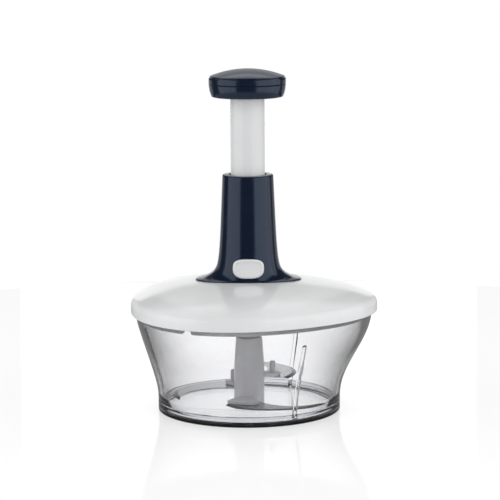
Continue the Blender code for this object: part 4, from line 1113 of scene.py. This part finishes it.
def make_housing():
    """Cup that hangs from the lid, its cover and the ears of their screws."""
    sizes = bpy.context.scene.chopper_sizes
    wall_r = 18.3 * MM
    inner = 16.0 * MM
    hole = 5.0 * MM
    flange_low = FLANGE_TOP - 2.5 * MM
    profile = [(FLANGE_R, FLANGE_TOP), (FLANGE_R, flange_low), (wall_r, flange_low),
               (wall_r, COVER_TOP), (inner, COVER_TOP), (inner, flange_low),
               (hole, flange_low), (hole, FLANGE_TOP)]
    bm = spun(profile, 120, [(0, 0.5 * MM, 2), (1, 0.5 * MM, 2), (2, 1.6 * MM, 5)])
    places = [polar(SCREW_RING, degrees) for degrees in (30.0, 150.0, 270.0)]
    ears = [post(EAR_R, COVER_TOP, COVER_TOP + 12.0 * MM, tuple(p), 32) for p in places]
    bm = combined(bm, ears, "UNION")
    bores = [post(1.8 * MM, COVER_TOP - MM, COVER_TOP + 9.0 * MM, tuple(p), 24) for p in places]
    piece("drive_cup", combined(bm, bores), "inner", "lid", ["drive_housing"], 32.0)
    bush_r, collar_r, collar_top = 11.9 * MM, 13.9 * MM, high("housing_cover").z
    plate_top = COVER_TOP - GAP
    profile = [(wall_r, plate_top), (wall_r, COVER_LOW), (bush_r, COVER_LOW), (bush_r, collar_top),
               (collar_r, collar_top), (collar_r, plate_top)]
    bm = spun(profile, 120, [(2, 0.4 * MM, 2)])
    ears = [post(EAR_R, COVER_LOW, plate_top, tuple(p), 32) for p in places]
    bm = combined(bm, ears, "UNION")
    bores = [post(1.8 * MM, COVER_LOW - MM, plate_top + MM, tuple(p), 24) for p in places]
    bm = combined(bm, bores)
    rim = [e for e in bm.edges if e.is_manifold and e.calc_face_angle(0.0) > 1.2
           and all(abs(v.co.z - COVER_LOW) < CLOSE and v.co.xy.length > 16.0 * MM
                   and min((v.co.xy - p).length for p in places) > 2.2 * MM
                   for v in e.verts)]
    soften(bm, rim, sizes.softening, 3)
    piece("drive_cover", bm, "inner", "lid", ["housing_cover"], 32.0)


def make_bush():
    """Bronze bush with a head."""
    bottom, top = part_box("spindle_bush")
    inner, outer = 9.6 * MM, 11.6 * MM
    head_low = high("housing_cover").z + GAP
    profile = [(top.x, top.z), (top.x, head_low), (outer, head_low), (outer, bottom.z),
               (inner, bottom.z), (inner, top.z)]
    bm = spun(profile, 96, [(index, 0.3 * MM, 2) for index in (0, 3, 4)])
    piece("bronze_bush", bm, "bronze", "lid", ["spindle_bush"])


def make_spindle():
    """Toothed disc, polished neck and hexagonal end with a lead-in."""
    bottom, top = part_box("drive_spindle")
    disc_top = top.z - 2.3 * MM
    disc_low = disc_top - 4.0 * MM
    neck_r, disc_r = 9.3 * MM, 15.0 * MM
    neck_low = HUB_TOP + 2.0 * GAP
    profile = [(0.0, disc_top), (disc_r, disc_top), (disc_r, disc_low), (neck_r, disc_low),
               (neck_r, neck_low), (0.0, neck_low)]
    bm = spun(profile, 96, [(4, 0.9 * MM, 4), (1, 0.3 * MM, 2), (2, 0.3 * MM, 2)])
    hexagon = post(5.6 * MM * HEX_CORNER, bottom.z, neck_low + MM, steps=6)
    ends = [e for e in hexagon.edges if max(v.co.z for v in e.verts) < bottom.z + CLOSE]
    soften(hexagon, ends, 0.8 * MM, 1)
    bm = combined(bm, [hexagon], "UNION")
    bm = combined(bm, [post(4.2 * MM, bottom.z - MM, disc_top + MM, steps=64)])
    teeth = []
    pitch = math.radians(60.0)
    for k in range(6):
        tooth = block((4.4 * MM, 2.0 * MM, 3.3 * MM), (0.0, 0.0, 0.0))
        for vertex in tooth.verts:
            radius = 9.5 * MM if vertex.co.x < 0.0 else 14.0 * MM
            back = vertex.co.y > 0.0
            angle = pitch * (k + (0.47 if back else 0.0))
            height = disc_top - MM
            if vertex.co.z > 0.0:
                height = disc_top + (0.02 * MM if back else 2.3 * MM)
            vertex.co = (radius * math.cos(angle), radius * math.sin(angle), height)
        teeth.append(tooth)
    bm = combined(bm, teeth, "UNION")
    piece("hex_spindle", bm, "inner", "spindle", ["drive_spindle"], 30.0)


# ---------------------------------------------------------------- plunger, knob and spring

def make_tube():
    """White tube with a stop collar below and the latch's window."""
    tube_r, wall = 13.85 * MM, 1.85 * MM
    stop_r = high("plunger_tube").x
    stop_top = TUBE_LOW + 7.5 * MM
    hole = 1.8 * MM
    plate_low = TUBE_TOP - 2.5 * MM
    profile = [(hole, TUBE_TOP), (tube_r, TUBE_TOP), (tube_r, stop_top), (stop_r, stop_top),
               (stop_r, TUBE_LOW), (tube_r - wall, TUBE_LOW), (tube_r - wall, plate_low),
               (hole, plate_low)]
    rounds = [(index, 0.5 * MM, 3) for index in (1, 3, 4)] + [(5, 0.3 * MM, 2)]
    bm = spun(profile, 144, rounds)
    window = block((9.6 * MM, 0.8 * tube_r, 7.6 * MM), (0.0, -tube_r, BUTTON_Z + 55.0 * MM))
    soften(window, [e for e in window.edges if run_along(e, 1) > MM], 1.2 * MM, 4)
    piece("press_tube", combined(bm, [window]), "tube", "plunger", ["plunger_tube"],
          32.0)


def make_knob():
    """Two-shell knob: a flared cup and a domed cap with a crease and a fine seam."""
    seam = KNOB_LOW + 10.5 * MM
    cup_r = 28.9 * MM
    socket = 14.15 * MM
    web_low = TUBE_TOP + GAP
    web_top = web_low + 2.5 * MM
    hole = 1.8 * MM
    wall = 2.5 * MM
    seam_top = seam - GAP
    side = [(KNOB_R - 0.35 * MM, seam_top), (KNOB_R - 0.05 * MM, seam_top - 0.35 * MM)]
    for share in spaced(0.05, 1.0, 14):
        z = seam_top - (seam_top - KNOB_LOW - 0.5 * MM) * share
        bulge = (KNOB_R - cup_r) * (0.22 * share + 0.78 * share ** 2.4)
        side.append((KNOB_R - 0.1 * MM - bulge * 0.95, z))
    base = [(cup_r - 0.15 * MM, KNOB_LOW + 0.45 * MM), (cup_r - 0.9 * MM, KNOB_LOW),
            (socket, KNOB_LOW)]
    inside = [(socket, web_low), (hole, web_low), (hole, web_top), (socket + wall, web_top),
              (socket + wall, KNOB_LOW + wall), (cup_r - wall, KNOB_LOW + wall),
              (KNOB_R - wall - 0.5 * MM, KNOB_LOW + 7.0 * MM), (KNOB_R - wall - 0.2 * MM, seam_top)]
    corner = len(side) + len(base) - 1
    bm = spun(side + base + inside, 160, [(corner, 0.6 * MM, 3)])
    piece("knob_cup", bm, "navy", "plunger", ["knob_body"], 24.0)
    crease_r = KNOB_R - 1.0 * MM
    rise = 5.9 * MM
    crease_z = KNOB_TOP - rise
    top = [(crease_r * share, KNOB_TOP - rise * share ** 2) for share in spaced(0.0, 0.985, 20)]
    edge = [(crease_r, crease_z - 0.15 * MM), (crease_r - 0.05 * MM, crease_z - 0.5 * MM),
            (crease_r - 0.2 * MM, crease_z - 0.75 * MM), (crease_r + 0.1 * MM, crease_z - 1.0 * MM)]
    side = [(KNOB_R - 0.45 * MM, crease_z - 1.25 * MM), (KNOB_R - 0.12 * MM, crease_z - 2.0 * MM),
            (KNOB_R, crease_z - 2.8 * MM), (KNOB_R, seam + 0.4 * MM), (KNOB_R - 0.35 * MM, seam)]
    lip_r = KNOB_R - wall - 0.2 * MM - GAP
    lip_low = seam - 2.2 * MM
    lip = [(lip_r, seam), (lip_r, lip_low), (lip_r - 1.2 * MM, lip_low)]
    under = [(crease_r * share * 0.93, KNOB_TOP - rise * share ** 2 - wall * 1.05)
             for share in (1.0, 0.86, 0.65, 0.35, 0.0)]
    bm = spun(top + edge + side + lip + under, 160)
    piece("knob_dome", bm, "navy", "plunger", ["knob_cap"], 16.0)


def make_spring():
    """Return spring wound in one sweep, with closed ends, on a mesh of its own."""
    bottom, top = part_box("return_spring")
    wire = 0.7 * MM
    radius = top.x - wire
    pitch_end = 2.3 * wire
    turns = 9
    per_turn = 40
    bm = bmesh.new()
    bmesh.ops.create_circle(bm, cap_ends=True, segments=12, radius=wire)
    turned(bm, math.pi / 2, "X")
    moved(bm, (radius, 0.0, bottom.z + wire))
    rest = top.z - bottom.z - 2.0 * wire - 2.0 * pitch_end
    geometry = bm.faces[:]
    for count, rise in ((1, pitch_end), (turns - 2, rest), (1, pitch_end)):
        steps = count * per_turn
        swept = bmesh.ops.spin(bm, geom=geometry, cent=(0.0, 0.0, 0.0), axis=(0.0, 0.0, 1.0),
                               dvec=(0.0, 0.0, rise / steps), angle=2.0 * math.pi * count,
                               steps=steps)
        geometry = swept["geom_last"]
    spring = piece("coil_spring", bm, "spring", "lid", ["return_spring"])
    stroke = next(j["range_m"][1] for j in frame["joints"] if j["name"] == "plunger_press")
    span = top.z - bottom.z
    (span - abs(stroke)) / span
    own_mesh(spring)


# ---------------------------------------------------------------- studio

FILL = 0.66                           # the world's light on matt surfaces
GLOSS_FROM, GLOSS_TO = 0.30, 0.95     # the world in gloss brightens from front to back
GLOSS_DARK, GLOSS_BRIGHT = 0.02, 0.05
CLEAR_FROM, CLEAR_TO = 0.89, 0.97     # the same, as seen through the clear bowl
CLEAR_DARK = 0.08
TABLE_GLOW = 0.38                     # share of the table that glows white to the eye
TABLE_DIM = 0.55                      # share of its light that gloss doesn't mirror
FIELD_HALF = 0.115, 0.15              # half width of the table's bright field, near and far
FIELD_EDGE = 0.03                     # width of the field's soft edge
FIELD_GLOW = 0.78, 0.08               # its glow in the clear bowl, inside and outside
SIDE_DIM = 0.55                       # share of the table's light lost beside the field
TABLE_R = 0.62
TABLE_DROP = 0.15 * MM                # the table lies this far below the object's foot
TABLE_WHITE = 0.86, 0.86, 0.86
TABLE_STRENGTH = 1.40

# Soft lamps: name, place, aim, width, height, glow, and whether matt and gloss see them.
LAMPS = (
    ("left box", (-1.27, -0.59, 0.30), (0.0, 0.0, 0.12), 1.75, 1.8, 0.98, True, True),
    ("right box", (1.20, -0.72, 0.30), (0.0, 0.0, 0.12), 1.80, 1.8, 1.02, True, True),
    ("front fill", (0.0, -2.2, 0.40), (0.0, 0.0, 0.12), 1.6, 1.2, 1.42, True, False),
    ("left end", (-1.32, 0.47, 0.30), (0.0, 0.0, 0.12), 0.65, 1.8, 1.0, True, False),
    ("right end", (1.37, 0.30, 0.30), (0.0, 0.0, 0.12), 0.60, 1.8, 0.75, True, True),
    ("top box", (0.0, 0.75, 1.35), (0.0, 0.0, 0.1), 1.5, 1.0, 0.70, True, True),
    ("back card", (0.0, 0.60, 0.14), (0.0, 0.0, 0.14), 0.50, 0.28, 0.8, False, True),
    ("wide card", (0.0, 0.62, 0.14), (0.0, 0.0, 0.14), 1.6, 0.28, 0.38, False, True),
    ("back strip", (0.0, 0.60, 0.55), (0.0, 0.0, 0.30), 0.42, 0.50, 0.5, False, True),
)


def glow_world():
    """Pale world: white to the eye, an even fill for matt surfaces, dark in front for gloss."""
    world = bpy.data.worlds.new("studio")
    world.use_nodes = True
    bpy.context.scene.world = world
    world.node_tree.nodes.clear()
    sky = Nodes(world.node_tree)
    direction = sky.node("ShaderNodeTexCoord", out="Generated")
    back = sky.node("ShaderNodeSeparateXYZ", {}, [direction], "Y")
    mirrored = sky.ramp(back, GLOSS_FROM, GLOSS_TO, GLOSS_DARK, GLOSS_BRIGHT)
    passed = sky.ramp(back, CLEAR_FROM, CLEAR_TO, CLEAR_DARK, 1.0)
    strength = FILL
    for kind, seen in (("Glossy", mirrored), ("Transmission", passed), ("Camera", 1.0)):
        strength = sky.level(sky.ray(kind), strength, seen)
    glow = sky.node("ShaderNodeBackground", {}, {"Color": (1.0, 1.0, 1.0), "Strength": strength})
    sky.node("ShaderNodeOutputWorld", {}, {"Surface": glow})


def softbox(name, place, aim, width, height, glow, matt, gloss):
    """Large soft lamp; glow is how bright its face is. It may act on matt or gloss alone."""
    lamp = bpy.data.lights.new(name, "AREA")
    lamp.shape = "RECTANGLE"
    lamp.size = width
    lamp.size_y = height
    lamp.energy = glow * math.pi * width * height
    made = bpy.data.objects.new(name, lamp)
    made.location = place
    made.rotation_euler = (Vector(aim) - Vector(place)).to_track_quat("-Z", "Y").to_euler()
    made.visible_camera = False
    made.visible_transmission = False
    made.visible_diffuse = matt
    made.visible_glossy = gloss
    bpy.context.scene.collection.objects.link(made)


def make_floor():
    """Pale glossy table top, white to the eye; through the bowl it shows a painted bright field
    with painted shade beside it, and gloss sees it partly darkened.
    """
    bm = bmesh.new()
    bmesh.ops.create_circle(bm, cap_ends=True, segments=96, radius=TABLE_R)
    moved(bm, (0.0, 0.0, -TABLE_DROP))
    table = linked("table", bm)
    finish = Finish("table white", Roughness=0.07)
    finish.set("Base Color", TABLE_WHITE)
    seen, passed, glossy = [finish.ray(kind) for kind in ("Camera", "Transmission", "Glossy")]
    # Painted light: a bright field behind the object that only the clear bowl sees, with painted
    # shade beside it.
    half = finish.ramp(finish.axis(1), 0.0, 0.6, *FIELD_HALF)
    past = finish.maths("ABSOLUTE", finish.axis(0)) - half
    field = finish.ramp(past, 0.0, FIELD_EDGE, *FIELD_GLOW)
    sides = finish.ramp(past, 0.0, FIELD_EDGE, 0.0, SIDE_DIM)
    glow = finish.node("ShaderNodeEmission", {}, {"Strength": TABLE_STRENGTH})
    share = finish.maths("MAXIMUM", seen * TABLE_GLOW, passed * field)
    lit = finish.mixed(share, finish.body, glow)
    mirror = finish.node("ShaderNodeMath", {"operation": "SUBTRACT", "use_clamp": True},
                         [glossy, passed])
    unlit = finish.node("ShaderNodeEmission", {}, {"Strength": 0.0})
    finish.surface(finish.mixed(passed * sides + mirror * TABLE_DIM, lit, unlit))
    table.data.materials.append(finish.material)


def make_camera():
    """Camera a little above the lid, looking slightly down."""
    distance, height = 1.7156, 0.3987
    yaw, pitch, roll = 0.0008, 0.1555, -0.0062
    camera = bpy.data.cameras.new("front")
    camera.sensor_width, camera.lens = 36.0, 154.49
    camera.clip_start, camera.clip_end = 0.05, 30.0
    made = bpy.data.objects.new("front", camera)
    bpy.context.scene.collection.objects.link(made)
    forward = Vector((math.sin(yaw) * math.cos(pitch), math.cos(yaw) * math.cos(pitch),
                      -math.sin(pitch)))
    right = Vector((math.cos(yaw), -math.sin(yaw), 0.0))
    up = right.cross(forward)
    right, up = (right * math.cos(roll) + up * math.sin(roll),
                 up * math.cos(roll) - right * math.sin(roll))
    axes = Matrix((right, up, -forward)).transposed()
    made.matrix_world = Matrix.Translation((0.0, -distance, height)) @ axes.to_4x4()
    bpy.context.scene.camera = made


# ---------------------------------------------------------------- operators

class CHOPPER_OT_stage(bpy.types.Operator):
    """Make the table, the world, the soft lamps and the camera."""

    bl_idname = "chopper.stage"
    bl_label = "Studio"

    def execute(self, context):
        context.scene.view_settings.view_transform = "Standard"
        glow_world()
        make_floor()
        make_camera()
        for lamp in LAMPS:
            softbox(*lamp)
        return {"FINISHED"}


class CHOPPER_OT_bowl(bpy.types.Operator):
    """Make the clear bowl, its foot band and the rotor's pin."""

    bl_idname = "chopper.bowl"
    bl_label = "Bowl"

    def execute(self, context):
        make_bowl()
        make_foot()
        return {"FINISHED"}


class CHOPPER_OT_rotor(bpy.types.Operator):
    """Make the hub, the three blades and their pads."""

    bl_idname = "chopper.rotor"
    bl_label = "Blade rotor"

    def execute(self, context):
        make_hub()
        for key, turn in BLADES.items():
            make_blade(key, turn)
            make_pad(key, turn)
        return {"FINISHED"}


class CHOPPER_OT_lid(bpy.types.Operator):
    """Make the domed lid, its skirt and its seal."""

    bl_idname = "chopper.lid"
    bl_label = "Lid"

    def execute(self, context):
        make_cover()
        make_skirt()
        return {"FINISHED"}


class CHOPPER_OT_tower(bpy.types.Operator):
    """Make the tower, its guide collar and the latch button."""

    bl_idname = "chopper.tower"
    bl_label = "Tower and button"

    def execute(self, context):
        make_tower()
        make_button()
        return {"FINISHED"}


class CHOPPER_OT_drive(bpy.types.Operator):
    """Make the housing, its cover, the bush, the spindle and the screws."""

    bl_idname = "chopper.drive"
    bl_label = "Drive"

    def execute(self, context):
        make_housing()
        make_bush()
        make_spindle()
        for k in (1, 2, 3):
            make_screw("cover_screw_%d_steel" % k, "lid", "cover_screw_%d" % k)
            make_screw("tower_screw_%d_steel" % k, "lid", "tower_screw_%d" % k)
        clothe("inner", "drive_nut")
        clothe("screw", "thrust_washer", "nut_washer")
        return {"FINISHED"}


class CHOPPER_OT_plunger(bpy.types.Operator):
    """Make the tube, the knob, the strip's finish and the return spring."""

    bl_idname = "chopper.plunger"
    bl_label = "Plunger and knob"

    def execute(self, context):
        make_tube()
        make_knob()
        make_screw("knob_screw_steel", "plunger", "knob_screw", upward=False)
        make_spring()
        clothe("strip", "twist_strip")
        clothe("inner", "strip_anchor")
        clothe("screw", "spring_seat")
        return {"FINISHED"}


STEPS = (CHOPPER_OT_stage, CHOPPER_OT_bowl, CHOPPER_OT_rotor, CHOPPER_OT_lid, CHOPPER_OT_tower,
         CHOPPER_OT_drive, CHOPPER_OT_plunger)


class CHOPPER_PT_panel(bpy.types.Panel):
    """Sizes, colours and the pieces of the chopper."""

    bl_idname = "CHOPPER_PT_panel"
    bl_label = "Press Chopper"
    bl_space_type = "VIEW_3D"
    bl_region_type = "UI"
    bl_category = "Chopper"

    def draw(self, context):
        layout = self.layout
        for group in (context.scene.chopper_sizes, context.scene.chopper_colours):
            column = layout.column(align=True)
            for key in group.__annotations__:
                column.prop(group, key)
        for step in STEPS:
            layout.operator(step.bl_idname)


CLASSES = (ChopperSizes, ChopperColours, *STEPS, CHOPPER_PT_panel)


def register():
    """Registers the classes and the scene's settings."""
    for made in CLASSES:
        bpy.utils.register_class(made)
    bpy.types.Scene.chopper_sizes = PointerProperty(type=ChopperSizes)
    bpy.types.Scene.chopper_colours = PointerProperty(type=ChopperColours)


def unregister():
    """Takes them away again."""
    del bpy.types.Scene.chopper_colours
    del bpy.types.Scene.chopper_sizes
    for made in reversed(CLASSES):
        bpy.utils.unregister_class(made)


def main():
    """Builds everything."""
    register()
    for step in STEPS:
        group, call = step.bl_idname.split(".")
        getattr(getattr(bpy.ops, group), call)()


if __name__ == "__main__":
    main()
